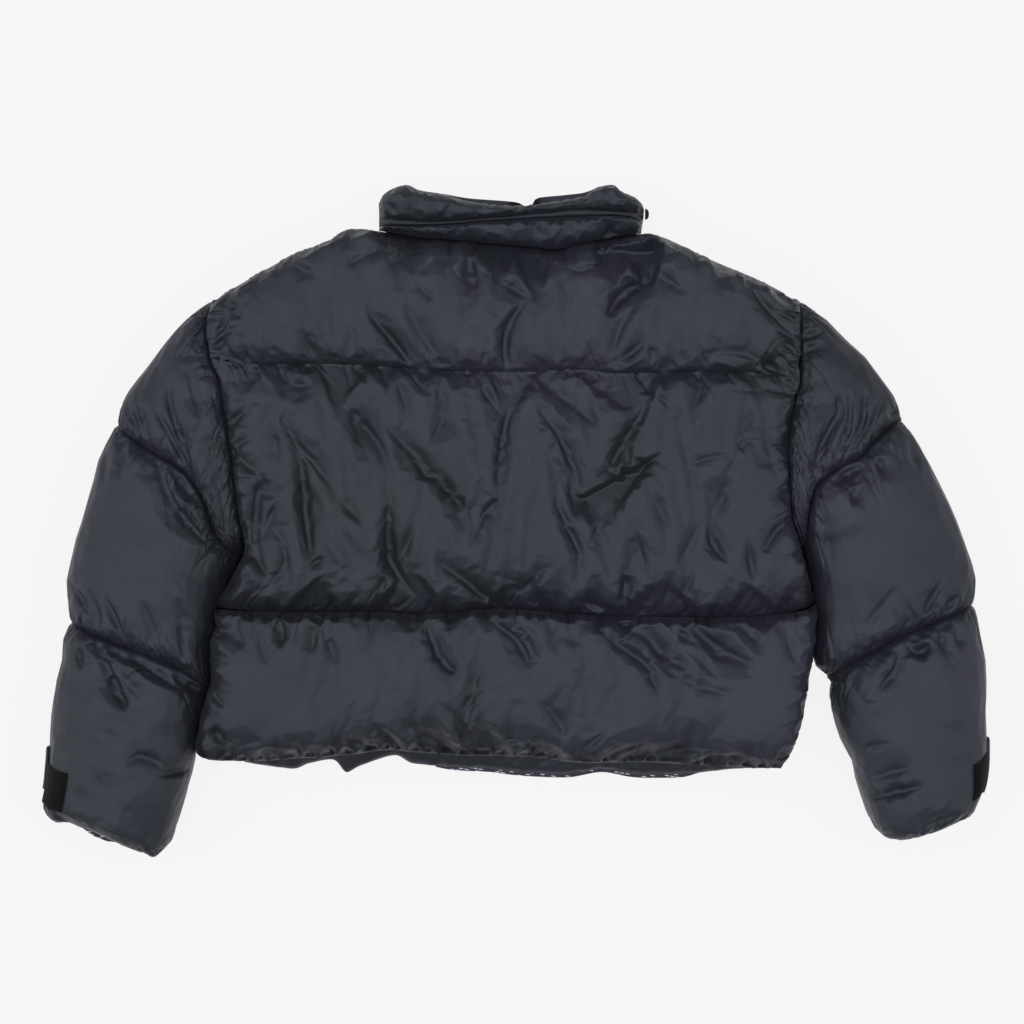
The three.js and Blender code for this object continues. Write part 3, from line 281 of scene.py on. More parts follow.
def ease(d, reach, power=2.0):
    k = 1 - np.clip(d / reach, 0, 1)
    return np.sqrt(np.clip(1 - k**power, 0, 1))


def fall(d, reach):
    k = 1 - np.clip(d / reach, 0, 1)
    return k * k


def noise1(x, wave, seed, parts=9):
    """smooth seeded noise along a line, about -1 to 1"""
    r = np.random.default_rng(seed)
    out = np.zeros_like(x)
    for f in r.uniform(0.6, 1.7, parts):
        out += np.sin(2 * np.pi * x * f / wave + r.uniform(0, 2 * np.pi))
    return out / math.sqrt(parts / 2) / 1.6


def noise2(x, y, wave, seed, parts=14):
    r = np.random.default_rng(seed)
    out = np.zeros_like(x)
    for a, f in zip(r.uniform(0, np.pi, parts), r.uniform(0.6, 1.6, parts)):
        out += np.sin(2 * np.pi * (x * math.cos(a) + y * math.sin(a)) * f / wave + r.uniform(0, 2 * np.pi))
    return out / math.sqrt(parts / 2) / 1.6


def creases(xy, group, scale=1.0, move=(0, 0), seed=100, narrow=1.0):
    """how far the listed creases press a surface in, at the plan's points: each is a
    bent valley with a steep shaded side and a shallow lit one, sharp along its bottom"""
    x, y = xy[..., 0], xy[..., 1]
    press = np.zeros_like(x)
    raised = np.zeros_like(x)
    for n, (kind, turned, rows) in enumerate(CREASES.get(group, [])):
        w1, deep, w2 = KINDS[kind]
        w1, w2 = w1 * narrow, w2 * narrow
        p = smooth_rows([tuple(v) for v in np.array(rows, float) + np.array(move)], per=5)
        seg = np.hypot(*np.diff(p, axis=0).T)
        run = np.r_[0, np.cumsum(seg)]
        lo, hi = p.min(0) - 1.6 * w2, p.max(0) + 1.6 * w2
        m = (x > lo[0]) & (x < hi[0]) & (y > lo[1]) & (y < hi[1])
        if not m.any():
            continue
        q = np.stack([x[m], y[m]], -1)
        best, where, side = np.full(len(q), 1e9), np.zeros(len(q)), np.zeros(len(q))
        for i in range(len(seg)):
            d = p[i + 1] - p[i]
            u = np.clip(((q - p[i]) @ d) / (d @ d), 0, 1)
            v = q - p[i] - u[:, None] * d
            dist = np.hypot(*v.T)
            closer = dist < best
            best[closer] = dist[closer]
            where[closer] = (run[i] + u * seg[i])[closer]
            side[closer] = (d[0] * v[:, 1] - d[1] * v[:, 0])[closer]
        share = where / run[-1]
        r = np.random.default_rng(seed + n)
        peak = r.uniform(0.35, 0.65)
        taper = np.clip(np.where(share < peak, share / peak, (1 - share) / (1 - peak)), 0, 1) ** 0.6
        turn = turned if turned else r.choice([-1, 1])
        steep = np.where(side * turn > 0, 1.0, 0.0)
        reach = (w1 * steep + w2 * (1 - steep)) * (0.55 + 0.45 * taper)
        k = (np.sqrt(best ** 2 + 0.6) - 0.77) / reach
        shape = np.clip(1 - k, 0, 1) ** 1.12 - 0.10 * np.exp(-((k - 1.15) / 0.30) ** 2)
        value = deep * (0.25 + 0.75 * taper) * shape * scale
        if deep > 0:
            press[m] = np.where(np.abs(value) > np.abs(press[m]), value, press[m])
        else:
            raised[m] = np.minimum(raised[m], value)
    return press + raised


# ------------------------------------------------------------------ sheets of cloth
class Cloth:
    """A grid of cloth: rows along t, columns along s, or round a ring."""
    all = []

    def __init__(self, name, points, ring=False, pin=None, grow_s=0.0, grow_t=0.0, pressure=0.05, low=None, high=None, hold=0.012, out=1.0, soft_s=None):
        self.name, self.p, self.ring = name, points.astype(np.float64), ring
        rows, cols = points.shape[:2]
        if pin is None:
            pin = np.zeros((rows, cols), bool)
            pin[0] = pin[-1] = True
            if not ring:
                pin[:, 0] = pin[:, -1] = True
        self.pin = pin
        self.grow_s, self.grow_t = grow_s, grow_t
        self.pressure, self.hold, self.out = pressure, hold, out
        self.low, self.high = low, high
        Cloth.all.append(self)

    def edges(self):
        rows, cols = self.p.shape[:2]
        idx = np.arange(rows * cols).reshape(rows, cols)
        nxt = (lambda k: np.roll(idx, -k, 1)) if self.ring else None
        sets = []
        c = np.arange(cols)
        def hor(k, dr=0):
            if self.ring:
                a, b = idx, nxt(k)
                cc = c
            else:
                a, b, cc = idx[:, :-k], idx[:, k:], c[:-k]
            return a, b, cc
        # along s
        a, b, cc = hor(1)
        for par in (0, 1):
            m = cc % 2 == par
            sets.append(("s", a[:, m].ravel(), b[:, m].ravel()))
        # along t
        r = np.arange(rows - 1)
        for par in (0, 1):
            m = r % 2 == par
            sets.append(("t", idx[:-1][m].ravel(), idx[1:][m].ravel()))
        # diagonals
        a, b, cc = hor(1)
        for par in (0, 1):
            m = cc % 2 == par
            sets.append(("d", a[:-1][:, m].ravel(), b[1:][:, m].ravel()))
            sets.append(("d", b[:-1][:, m].ravel(), a[1:][:, m].ravel()))
        # bending over two steps
        a, b, cc = hor(2)
        for par in (0, 1):
            m = (cc // 2) % 2 == par
            sets.append(("bs", a[:, m].ravel(), b[:, m].ravel()))
        r = np.arange(rows - 2)
        for par in (0, 1):
            m = (r // 2) % 2 == par
            sets.append(("bt", idx[:-2][m].ravel(), idx[2:][m].ravel()))
        return sets


def relax(sheets, steps, sweeps=2, bend=0.10, damp=0.94, shear=0.5, cap_at=1.5):
    """Position-based cloth: lengths are kept, filling pushes out, creases may deepen."""
    start, base = [], 0
    for c in sheets:
        start.append(base)
        base += c.p.shape[0] * c.p.shape[1]
    P = np.vstack([c.p.reshape(-1, 3) for c in sheets]).astype(np.float32)
    goal = P.copy()
    W = np.concatenate([(~c.pin).reshape(-1) for c in sheets]).astype(np.float32)
    press = np.concatenate([np.broadcast_to(c.pressure * c.out, c.p.shape[:2]).reshape(-1) for c in sheets]).astype(np.float32)
    hold = np.concatenate([np.broadcast_to(c.hold, c.p.shape[:2]).reshape(-1) for c in sheets]).astype(np.float32)
    low = np.concatenate([np.broadcast_to(-1e9 if c.low is None else c.low, c.p.shape[:2]).reshape(-1) for c in sheets]).astype(np.float32)
    high = np.concatenate([np.broadcast_to(1e9 if c.high is None else c.high, c.p.shape[:2]).reshape(-1) for c in sheets]).astype(np.float32)
    groups = {}
    left, right, up, down = [], [], [], []
    for c, b in zip(sheets, start):
        rows, cols = c.p.shape[:2]
        idx = np.arange(rows * cols).reshape(rows, cols)
        if c.ring:
            l, r = np.roll(idx, 1, 1), np.roll(idx, -1, 1)
        else:
            l, r = idx[:, np.r_[0, 0:cols - 1]], idx[:, np.r_[1:cols, cols - 1]]
        left.append(l.ravel() + b); right.append(r.ravel() + b)
        down.append(idx[np.r_[0, 0:rows - 1]].ravel() + b); up.append(idx[np.r_[1:rows, rows - 1]].ravel() + b)
        gs = np.broadcast_to(1 + np.asarray(c.grow_s), c.p.shape[:2]).ravel()
        gt = np.broadcast_to(1 + np.asarray(c.grow_t), c.p.shape[:2]).ravel()
        q = c.p.reshape(-1, 3)
        for n, (kind, i, j) in enumerate(c.edges()):
            rest = np.linalg.norm(q[j] - q[i], axis=1)
            if kind in ("s", "bs"):
                rest = rest * gs[i]
            elif kind in ("t", "bt"):
                rest = rest * gt[i]
            else:
                rest = rest * np.sqrt((gs[i] ** 2 + gt[i] ** 2) / 2)
            groups.setdefault((n, kind), []).append((i + b, j + b, rest))
    left, right, up, down = (np.concatenate(v) for v in (left, right, up, down))
    batches = []
    for (n, kind), parts in sorted(groups.items()):
        i = np.concatenate([v[0] for v in parts]); j = np.concatenate([v[1] for v in parts])
        rest = np.concatenate([v[2] for v in parts]).astype(np.float32)
        wi, wj = W[i], W[j]
        keep = (wi + wj) > 0
        i, j, rest, wi, wj = i[keep], j[keep], rest[keep], wi[keep], wj[keep]
        k = {"s": 1.0, "t": 1.0, "d": shear, "bs": bend, "bt": bend}[kind]
        if kind in ("bs", "bt"):
            rest = rest * 1.0
        batches.append((i, j, rest, (k * wi / (wi + wj))[:, None], (k * wj / (wi + wj))[:, None]))
    prev = P.copy()
    for step in range(steps):
        n = np.cross(P[right] - P[left], P[up] - P[down])
        n /= np.linalg.norm(n, axis=1)[:, None] + 1e-9
        move = (P - prev) * damp + n * press[:, None]
        cap = np.linalg.norm(move, axis=1)[:, None]
        move *= np.minimum(1, cap_at / (cap + 1e-9))
        prev = P.copy()
        P = P + move * W[:, None] + (goal - P) * (hold * W)[:, None]
        for _ in range(sweeps):
            for i, j, rest, ki, kj in batches:
                d = P[j] - P[i]
                l = np.sqrt((d * d).sum(1)) + 1e-9
                d *= ((l - rest) / l)[:, None]
                P[i] += ki * d
                P[j] -= kj * d
        P[:, 2] = np.clip(P[:, 2], low, high)
    for c, b in zip(sheets, start):
        c.p = P[b:b + c.p.shape[0] * c.p.shape[1]].reshape(c.p.shape).astype(np.float64)


def refine(p, ring=False):
    """one four-point subdivision of a grid"""
    def along(q, closed):
        if closed:
            e = np.concatenate([q[-1:], q, q[:2]])
        else:
            e = np.concatenate([2 * q[:1] - q[1:2], q, 2 * q[-1:] - q[-2:-1]])
        mid = (9 * (e[1:-2] + e[2:-1]) - e[:-3] - e[3:]) / 16
        out = np.empty((len(q) + len(mid), *q.shape[1:]))
        out[0::2] = q
        out[1::2] = mid
        return out
    p = along(p, False)
    return np.swapaxes(along(np.swapaxes(p, 0, 1), ring), 0, 1)


# ------------------------------------------------------------------ meshes
def make_object(name, verts, faces, sharp_loops=(), smooth=True):
    mesh = bpy.data.meshes.new(name)
    v = np.asarray(verts, float) + np.array([OFF[0], OFF[1], 0.0])
    mesh.from_pydata((v / 1000).tolist(), [], faces)
    mesh.update()
    obj = bpy.data.objects.new(name, mesh)
    bpy.context.scene.collection.objects.link(obj)
    if smooth:
        mesh.shade_smooth()
    if len(sharp_loops):
        pairs = set()
        for loop in sharp_loops:
            for a, b in zip(loop, list(loop[1:]) + [loop[0]]):
                pairs.add((min(a, b), max(a, b)))
        ev = np.empty(len(mesh.edges) * 2, np.int32)
        mesh.edges.foreach_get("vertices", ev)
        ev = ev.reshape(-1, 2); ev.sort(axis=1)
        flags = np.array([(a, b) in pairs for a, b in ev.tolist()])
        att = mesh.attributes.new("sharp_edge", "BOOLEAN", "EDGE")
        att.data.foreach_set("value", flags)
    return obj


def signed_volume(v, faces):
    total = 0.0
    v = np.asarray(v)
    tris = np.array([(f[0], f[i], f[i + 1]) for f in faces for i in range(1, len(f) - 1)])
    a, b, c = v[tris[:, 0]], v[tris[:, 1]], v[tris[:, 2]]
    return np.einsum("ij,ij->i", a, np.cross(b, c)).sum() / 6


def rim_of(rows, cols):
    i = np.arange(rows * cols).reshape(rows, cols)
    return [*i[0, :-1], *i[:-1, -1], *i[-1, :0:-1], *i[:0:-1, 0]]


def pad_mesh(name, face, inner, k):
    """Closed padded shell: a fine face, and an inner side on every k-th point that shares its rim."""
    rows, cols = face.shape[:2]
    verts = [face.reshape(-1, 3)]
    idx = np.arange(rows * cols).reshape(rows, cols)
    a, b, c, d = idx[:-1, :-1], idx[:-1, 1:], idx[1:, 1:], idx[1:, :-1]
    faces = np.stack([a, b, c, d], -1).reshape(-1, 4).tolist()
    rs = sorted(set(list(range(0, rows, k)) + [rows - 1])); cs = sorted(set(list(range(0, cols, k)) + [cols - 1]))
    if len(rs) > 2 and rs[-1] - rs[-2] < k / 2: rs.pop(-2)
    if len(cs) > 2 and cs[-1] - cs[-2] < k / 2: cs.pop(-2)
    extra, back = [], {}
    count = rows * cols
    for r in rs:
        for q in cs:
            if r in (0, rows - 1) or q in (0, cols - 1):
                back[r, q] = int(idx[r, q])
            else:
                back[r, q] = count + len(extra)
                extra.append(inner[r, q])
    verts.append(np.array(extra).reshape(-1, 3))
    for i in range(len(rs) - 1):
        for j in range(len(cs) - 1):
            r0, r1, q0, q1 = rs[i], rs[i + 1], cs[j], cs[j + 1]
            ring = []
            # down the west side, along the south, up the east, back along the north: reversed order
            ring.append(back[r0, q0])
            if q0 == 0:
                ring += [int(idx[r, 0]) for r in range(r0 + 1, r1)]
            ring.append(back[r1, q0])
            if r1 == rows - 1:
                ring += [int(idx[rows - 1, q]) for q in range(q0 + 1, q1)]
            ring.append(back[r1, q1])
            if q1 == cols - 1:
                ring += [int(idx[r, cols - 1]) for r in range(r1 - 1, r0, -1)]
            ring.append(back[r0, q1])
            if r0 == 0:
                ring += [int(idx[0, q]) for q in range(q1 - 1, q0, -1)]
            faces.append(ring)
    verts = np.vstack(verts)
    if signed_volume(verts, faces) < 0:
        faces = [f[::-1] for f in faces]
    return make_object(name, verts, faces, [rim_of(rows, cols)])


def ring_mesh(name, outer, inner_rows):
    """Closed flattened tube: a fine outer ring and a coarse inner one, open at both ends."""
    rows, n = outer.shape[:2]
    idx = np.arange(rows * n).reshape(rows, n)
    nxt = np.roll(idx, -1, 1)
    faces = np.stack([idx[:-1], nxt[:-1], nxt[1:], idx[1:]], -1).reshape(-1, 4).tolist()
    m = len(inner_rows)
    iv = np.vstack([r.reshape(-1, 3) for r in inner_rows])
    base = rows * n
    jdx = np.arange(m * n).reshape(m, n) + base
    jn = np.roll(jdx, -1, 1)
    faces += np.stack([jdx[:-1], jdx[1:], jn[1:], jn[:-1]], -1).reshape(-1, 4).tolist()
    faces += np.stack([idx[0], jdx[0], jn[0], nxt[0]], -1).tolist()
    faces += np.stack([idx[-1], nxt[-1], jn[-1], jdx[-1]], -1).tolist()
    verts = np.vstack([outer.reshape(-1, 3), iv])
    if signed_volume(verts, faces) < 0:
        faces = [f[::-1] for f in faces]
    return make_object(name, verts, faces, [idx[0].tolist(), idx[-1].tolist()])


def soften(h, times, ring=False):
    for _ in range(times):
        e = np.concatenate([h[:1], h, h[-1:]])
        h = (e[:-2] + 2 * e[1:-1] + e[2:]) / 4
        e = np.concatenate([h[:, -1:], h, h[:, :1]], 1) if ring else np.concatenate([h[:, :1], h, h[:, -1:]], 1)
        h = (e[:, :-2] + 2 * e[:, 1:-1] + e[:, 2:]) / 4
    return h


def triangulate(points):
    """the Delaunay triangles of flat points"""
    from mathutils import Vector
    from mathutils.geometry import delaunay_2d_cdt
    _, _, faces, origin, _, _ = delaunay_2d_cdt([Vector(v) for v in points.tolist()], [], [], 0, 1e-5)
    return [tuple(origin[k][0] for k in f) for f in faces if all(origin[k] for k in f)]


def crisp(p, ring=False, along=8.0, across=3.0, open_=9.0, amount=0.85, rim=3.0, strong=0.5, seed=1):
    """Stiff cloth folds in flat facets: the same surface again, as triangles strung between
    the ridges and the bottoms of its folds."""
    pad = 12 if ring else 0
    q = np.concatenate([p[:, -pad:], p, p[:, :pad]], 1) if ring else p
    rows, cols = q.shape[:2]
    n = np.cross(np.gradient(q, axis=1), np.gradient(q, axis=0))
    n /= np.linalg.norm(n, axis=2)[..., None] + 1e-9
    # height over the softened surface, along its normal
    h = ((soften(q, 3) - soften(q, 60)) * soften(n, 40)).sum(2)
    hy, hx = np.gradient(h)
    hyy, hxy = np.gradient(hy)
    hxx = np.gradient(hx, axis=1)
    mean, diff = (hxx + hyy) / 2, np.hypot((hxx - hyy) / 2, hxy)
    sign = np.where(mean >= 0, 1, -1)
    power = np.abs(mean) + diff
    turn = 0.5 * np.arctan2(2 * hxy * sign, (hxx - hyy) * sign)     # direction across the fold
    top = np.percentile(power, 93)
    r = np.random.default_rng(seed)
    rank = power * r.uniform(0.85, 1.15, power.shape)
    taken = np.zeros((rows, cols), bool)
    picks = []
    step = 9
    edge = sorted({*range(0, rows, step), rows - 1}), sorted({*range(0, cols, step), cols - 1})
    for i in (0, rows - 1):
        picks += [(i, j) for j in edge[1]]
    for j in (0, cols - 1):
        picks += [(i, j) for i in edge[0][1:-1]]
    taken[:2] = taken[-2:] = True
    taken[:, :2] = taken[:, -2:] = True
    yy, xx = np.mgrid[-14:15, -14:15]
    for k in np.argsort(-rank, axis=None):
        i, j = divmod(int(k), cols)
        if taken[i, j]:
            continue
        picks.append((i, j))
        s = min(1.0, power[i, j] / (strong * top))
        a, b = open_ + (along - open_) * s, open_ + (across - open_) * s
        c, d = math.cos(turn[i, j]), math.sin(turn[i, j])
        m = ((xx * c + yy * d) / b) ** 2 + ((-xx * d + yy * c) / a) ** 2 < 1
        i0, i1, j0, j1 = max(0, i - 14), min(rows, i + 15), max(0, j - 14), min(cols, j + 15)
        taken[i0:i1, j0:j1] |= m[i0 - i + 14:i1 - i + 14, j0 - j + 14:j1 - j + 14]
    pts = np.array(picks, float)
    src = soften(q, 1)
    val = src[pts[:, 0].astype(int), pts[:, 1].astype(int)]
    out = q.copy()
    for tri in triangulate(pts):
        a, b, c = pts[tri[0]], pts[tri[1]], pts[tri[2]]
        i0, i1 = int(min(a[0], b[0], c[0])), int(max(a[0], b[0], c[0])) + 1
        j0, j1 = int(min(a[1], b[1], c[1])), int(max(a[1], b[1], c[1])) + 1
        area = (b[0] - a[0]) * (c[1] - a[1]) - (b[1] - a[1]) * (c[0] - a[0])
        if abs(area) < 1e-6:
            continue
        I, J = np.mgrid[i0:i1, j0:j1]
        u = ((I - a[0]) * (c[1] - a[1]) - (J - a[1]) * (c[0] - a[0])) / area
        v = ((b[0] - a[0]) * (J - a[1]) - (b[1] - a[1]) * (I - a[0])) / area
        m = (u >= -1e-6) & (v >= -1e-6) & (u + v <= 1 + 1e-6)
        out[I[m], J[m]] = val[tri[0]] + u[m][:, None] * (val[tri[1]] - val[tri[0]]) + v[m][:, None] * (val[tri[2]] - val[tri[0]])
    i, j = np.arange(rows)[:, None], np.arange(cols)[None, :]
    d = np.minimum(i, rows - 1 - i) + 0 * j
    if not ring:
        d = np.minimum(d, np.minimum(j, cols - 1 - j))
    w = amount * np.clip(d / rim, 0, 1)
    if ring:
        w = w * np.clip(np.minimum(j - pad, cols - pad - 1 - j) / 6, 0, 1)
    out = q + (out - q) * w[..., None]
    return out[:, pad:cols - pad] if ring else out


# ------------------------------------------------------------------ baffles of the body
def swell(d, reach, p=0.70):
    k = 1 - np.clip(d / reach, 0, 1)
    return np.power(np.clip(1 - k * k, 0, 1), p)


def level_at(ss, tt, wide, tall, edges, inner, reach):
    level = np.full_like(ss, inner)
    for e, d in zip(edges, (tt * tall, (1 - tt) * tall, ss * wide, (1 - ss) * wide)):
        if e is None:
            continue
        v = e(tt) if callable(e) else e
        level = level + (v - inner) * fall(d, reach) * (1 - np.abs(level - inner) / 60)
    return level


def puckers(along, depth_from, seed, space=(12, 25), length=(14, 40), width=(3.0, 6.0), deep=(1.4, 3.8)):
    """small folds gathered along a stitched seam, as uneven as gathers are"""
    r = np.random.default_rng(seed)
    press = np.zeros_like(along)
    at, end = along.min() - 5, along.max() + 5
    near = depth_from < length[1] * 1.2
    a, d = along[near], depth_from[near]
    out = np.zeros_like(a)
    while at < end:
        w, l = r.uniform(*width), r.uniform(*length)
        z, lean, skew = r.uniform(*deep), r.normal(0, 0.28), r.uniform(0.5, 1.9)
        off = a - (at + lean * d)
        k = np.abs(off) / (w * np.where(off > 0, skew, 1 / skew) * (0.45 + 0.55 * np.clip(d / l, 0, 1)))
        m = k < 2
        if m.any():
            tip = np.clip(1 - d[m] / l, 0, 1) ** 0.75
            out[m] = np.maximum(out[m], z * tip * np.clip(1 - k[m], 0, 1))
        at += r.uniform(*space) * (1 + 0.8 * (r.random() < 0.12))
    press[near] = out
    return press


def growth(tt, tall, near, inside, reach=30.0):
    """extra cloth along a seam, less away from it"""
    d = np.minimum(tt, 1 - tt) * tall
    return inside + (near - inside) * np.exp(-d / reach)


def count(length, step, multiple=1):
    n = max(4, int(round(length / step)))
    return max(multiple, int(round(n / multiple)) * multiple)


pads = []
# flat facets: their low side from a to b, the point they rise to, the low side's height
FACETS = {
    "yoke": [((-48, 302), (0, 301), (-16, 255), 50), ((-8, 301), (38, 300), (23, 238), 50), ((88, 292), (122, 294), (106, 252), 60), ((120, 290), (154, 292), (144, 244), 63)],
    "mid": [((70, 20), (142, 60), (92, -12), 80), ((-154, -104), (-86, -106), (-110, -48), 66), ((-34, -102), (44, -104), (4, -62), 66), ((66, 161), (150, 161), (132, 106), 80),
            ((-26, 160), (24, 161), (-12, 104), 80), ((-250, -103), (-192, -103), (-212, -62), 67), ((112, -106), (198, -108), (160, -66), 66), ((-212, 168), (-158, 167), (-196, 120), 80),
            ((-100, 46), (-50, 8), (-112, 66), 84), ((226, -107), (284, -104), (250, -70), 68)],
    "hem": [((-122, -258), (-58, -262), (-84, -224), 68), ((-192, -262), (-132, -256), (-158, -236), 70), ((-64, -262), (-6, -262), (-40, -212), 68), ((100, -268), (196, -270), (136, -244), 69),
            ((4, -262), (60, -267), (30, -238), 69), ((196, -270), (262, -272), (228, -250), 70), ((-300, -264), (-240, -263), (-262, -244), 71)],
}


def facets(xy, z, group, crest):
    """the cloth's height with those flat triangles cut across its bulge"""
    for a, b, tip, base in FACETS.get(group, []):
        a, b, tip = (np.array(v, float) for v in (a, b, tip))
        area = (b[0] - a[0]) * (tip[1] - a[1]) - (b[1] - a[1]) * (tip[0] - a[0])
        u = ((xy[..., 0] - a[0]) * (tip[1] - a[1]) - (xy[..., 1] - a[1]) * (tip[0] - a[0])) / area
        w = ((b[0] - a[0]) * (xy[..., 1] - a[1]) - (b[1] - a[1]) * (xy[..., 0] - a[0])) / area
        side = np.minimum(u, 1 - u - w)
        plane = base + (crest - base) * w + 110 * np.maximum(0, -side) + 160 * np.maximum(0, -w)
        z = np.minimum(z, plane)
    return z


STRESS = {"yoke": 1.3, "mid": 1.0, "hem": 1.35}


def back_baffle(name, group, sides, edges, crest, grow, seeds, reaches, valley=VALLEY):
    south, north, west, east = sides
    nx = count(abs(south[-1][0] - south[0][0]), STEP)
    tall0 = max(abs(np.mean([p[1] for p in north]) - np.mean([p[1] for p in south])), 40)
    ny = count(tall0 * 1.05, STEP)
    xy, ss, tt, wide, tall = plan(south, north, west, east, nx, ny, gap=(0.12,) * 4)
    level = np.maximum(level_at(ss, tt, wide, tall, edges, valley, 60), LAYER + 2.4)
    ds, dn, dw, de = tt * tall, (1 - tt) * tall, ss * wide, (1 - ss) * wide
    rs, rn = (np.minimum(r, tall * 0.48) for r in reaches[:2])
    if name == "back_yoke":
        # under the collar the cloth lies low before it rises
        dn = np.maximum(dn - 9.5 * np.clip((150 - np.abs(xy[..., 0] + 5)) / 30, 0, 1), 0)
    # the cloth falls to its seams by uneven widths, as it gathers there
    along, up_ = ss * wide, tt * tall
    rs = np.clip(rs * (1 + 0.42 * noise1(along, 58, seeds + 61)), 7, tall * 0.55)
    rn = np.clip(rn * (1 + 0.42 * noise1(along, 50, seeds + 62)), 7, tall * 0.55)
    rw, re = (np.clip(reaches[2] * (1 + 0.4 * noise1(up_, 42, seeds + k)), 8, 60) for k in (63, 64))
    south_ = swell(ds, rs, 0.58) if name != "back_hem" else 0.5 * swell(ds, 2.2, 0.5) + 0.5 * swell(ds, rs, 0.9)
    full = south_ * swell(dn, rn, 0.85 if name == "back_middle" else 0.58) * swell(dw, rw, 0.58) * swell(de, re, 0.58)
    full = full * (0.93 + 0.07 * swell(ds, tall * 0.5, 1.0) * swell(dn, tall * 0.5, 1.0))
    top = crest + 2.2 * noise2(xy[..., 0], xy[..., 1], 130, seeds) + 0.9 * noise2(xy[..., 0], xy[..., 1], 52, seeds + 1)
    z = level + (top - level) * full
    z = np.maximum(z, LAYER + 2.4)
    under = LAYER + 0.3 + (np.maximum(level - 2.5, LAYER + 0.3) - LAYER - 0.3) * (1 - np.clip(full * 1.6, 0, 1))
    rim = np.minimum.reduce([ds, dn, dw, de])
    z = facets(xy, z - creases(xy, group, scale=0.6 * STRESS[group]) * np.clip(rim / 7, 0, 1), group, crest)
    z = np.maximum(z, LAYER + 2.4)
    if name == "back_hem":
        # the cloth turns under at the hem's edge
        xy[1] = xy[0]
        xy[0, :, 1] += 0.8
    gs = grow[0] * (1 + grow[2] * np.exp(-np.minimum(ds, dn) / 25))
    c = Cloth(name, np.dstack([xy, z]), grow_s=gs, grow_t=grow[1], pressure=0.01, hold=0.002, low=LAYER + 1.6, high=101.5)
    c.aux, c.fine = np.dstack([along, ds, dn, dw, de, np.ones_like(ds), tt * tall]), dict(seeds=seeds + 5, low=LAYER + 1.6, group=group, crest=crest)
    pads.append(("pad", name, c, np.dstack([xy, np.minimum(under, z - 12)])))
    return c


def front_baffle(name, group, sides, edges, seeds):
    south, north, west, east = sides
    nx = count(abs(south[-1][0] - south[0][0]), STEP_FRONT)
    tall0 = max(abs(np.mean([p[1] for p in north]) - np.mean([p[1] for p in south])), 40)
    ny = count(tall0 * 1.05, STEP_FRONT)
    xy, ss, tt, wide, tall = plan(south, north, west, east, nx, ny, gap=(0.12,) * 4)
    level = np.minimum(level_at(ss, tt, wide, tall, edges, VALLEY_FRONT, 45), LAYER - 1.5)
    reach = np.minimum(80, tall * 0.5)
    ds, dn, dw, de = tt * tall, (1 - tt) * tall, ss * wide, (1 - ss) * wide
    full = swell(ds, reach) * swell(dn, reach) * swell(dw, 45) * swell(de, 45)
    z = level * np.clip(1 - 1.9 * full, 0, 1)
    soft = np.clip(np.minimum.reduce([ds, dn, dw, de]) / 9, 0, 1)
    press = creases(xy, group, scale=0.9, move=(9, -6), seed=700) * soft
    press += puckers(ss * wide, ds, seeds + 2, width=(5, 8)) * np.clip(ds / 5, 0, 1) + puckers(ss * wide, dn, seeds + 3, width=(5, 8)) * np.clip(dn / 5, 0, 1)
    z = np.clip(z + press, 0, LAYER - 3)
    over = level + (LAYER - 0.3 - level) * np.clip(full * 1.3, 0, 1)
    c = Cloth(name, np.dstack([xy, z]), grow_s=growth(tt, tall, 0.035, 0.012), grow_t=0.015, pressure=0.05, low=0.0, high=LAYER - 2, out=-1.0)
    pads.append(("pad", name, c, np.dstack([xy, np.maximum(over, z + 1.5)])))


def rev(rows):
    return list(rows)[::-1]


LOW = LAYER + 3
under_arm = lambda t: np.where(t > 0.42, 80.0, LOW + (80.0 - LOW) * np.clip((t - 0.2) / 0.22, 0, 1))
NECK = [(x, y + (4.5 if -135 < x < 135 else 3.2 if -190 < x < 170 else 0)) for x, y in SHOULDERS]
back_baffle("back_yoke", "yoke", (SEAM_1, NECK, rev(ARM_L[:4]), rev(ARM_R[:4])), (SEAM_1_Z, LOW, 81.0, 81.0),
            CREST["yoke"], (0.018, 0.006, 1.0), 11, (10, 18, 15))
back_baffle("back_middle", "mid", (SEAM_2, SEAM_1, rev(SIDE_L[:3])[:-1] + [SIDE_L[0]] + rev(ARM_L[3:9]), rev(SIDE_R[:3])[:-1] + [SIDE_R[0]] + rev(ARM_R[3:8])),
            (SEAM_2_Z, SEAM_1_Z, under_arm, under_arm), CREST["mid"], (0.034, 0.012, 0.6), 23, (34, 23, 16))
back_baffle("back_hem", "hem", (HEM, SEAM_2, rev(SIDE_L[2:]), rev(SIDE_R[2:])), (LOW, SEAM_2_Z, LOW, LOW),
            CREST["hem"], (0.018, 0.006, 1.0), 37, (28, 9, 28))

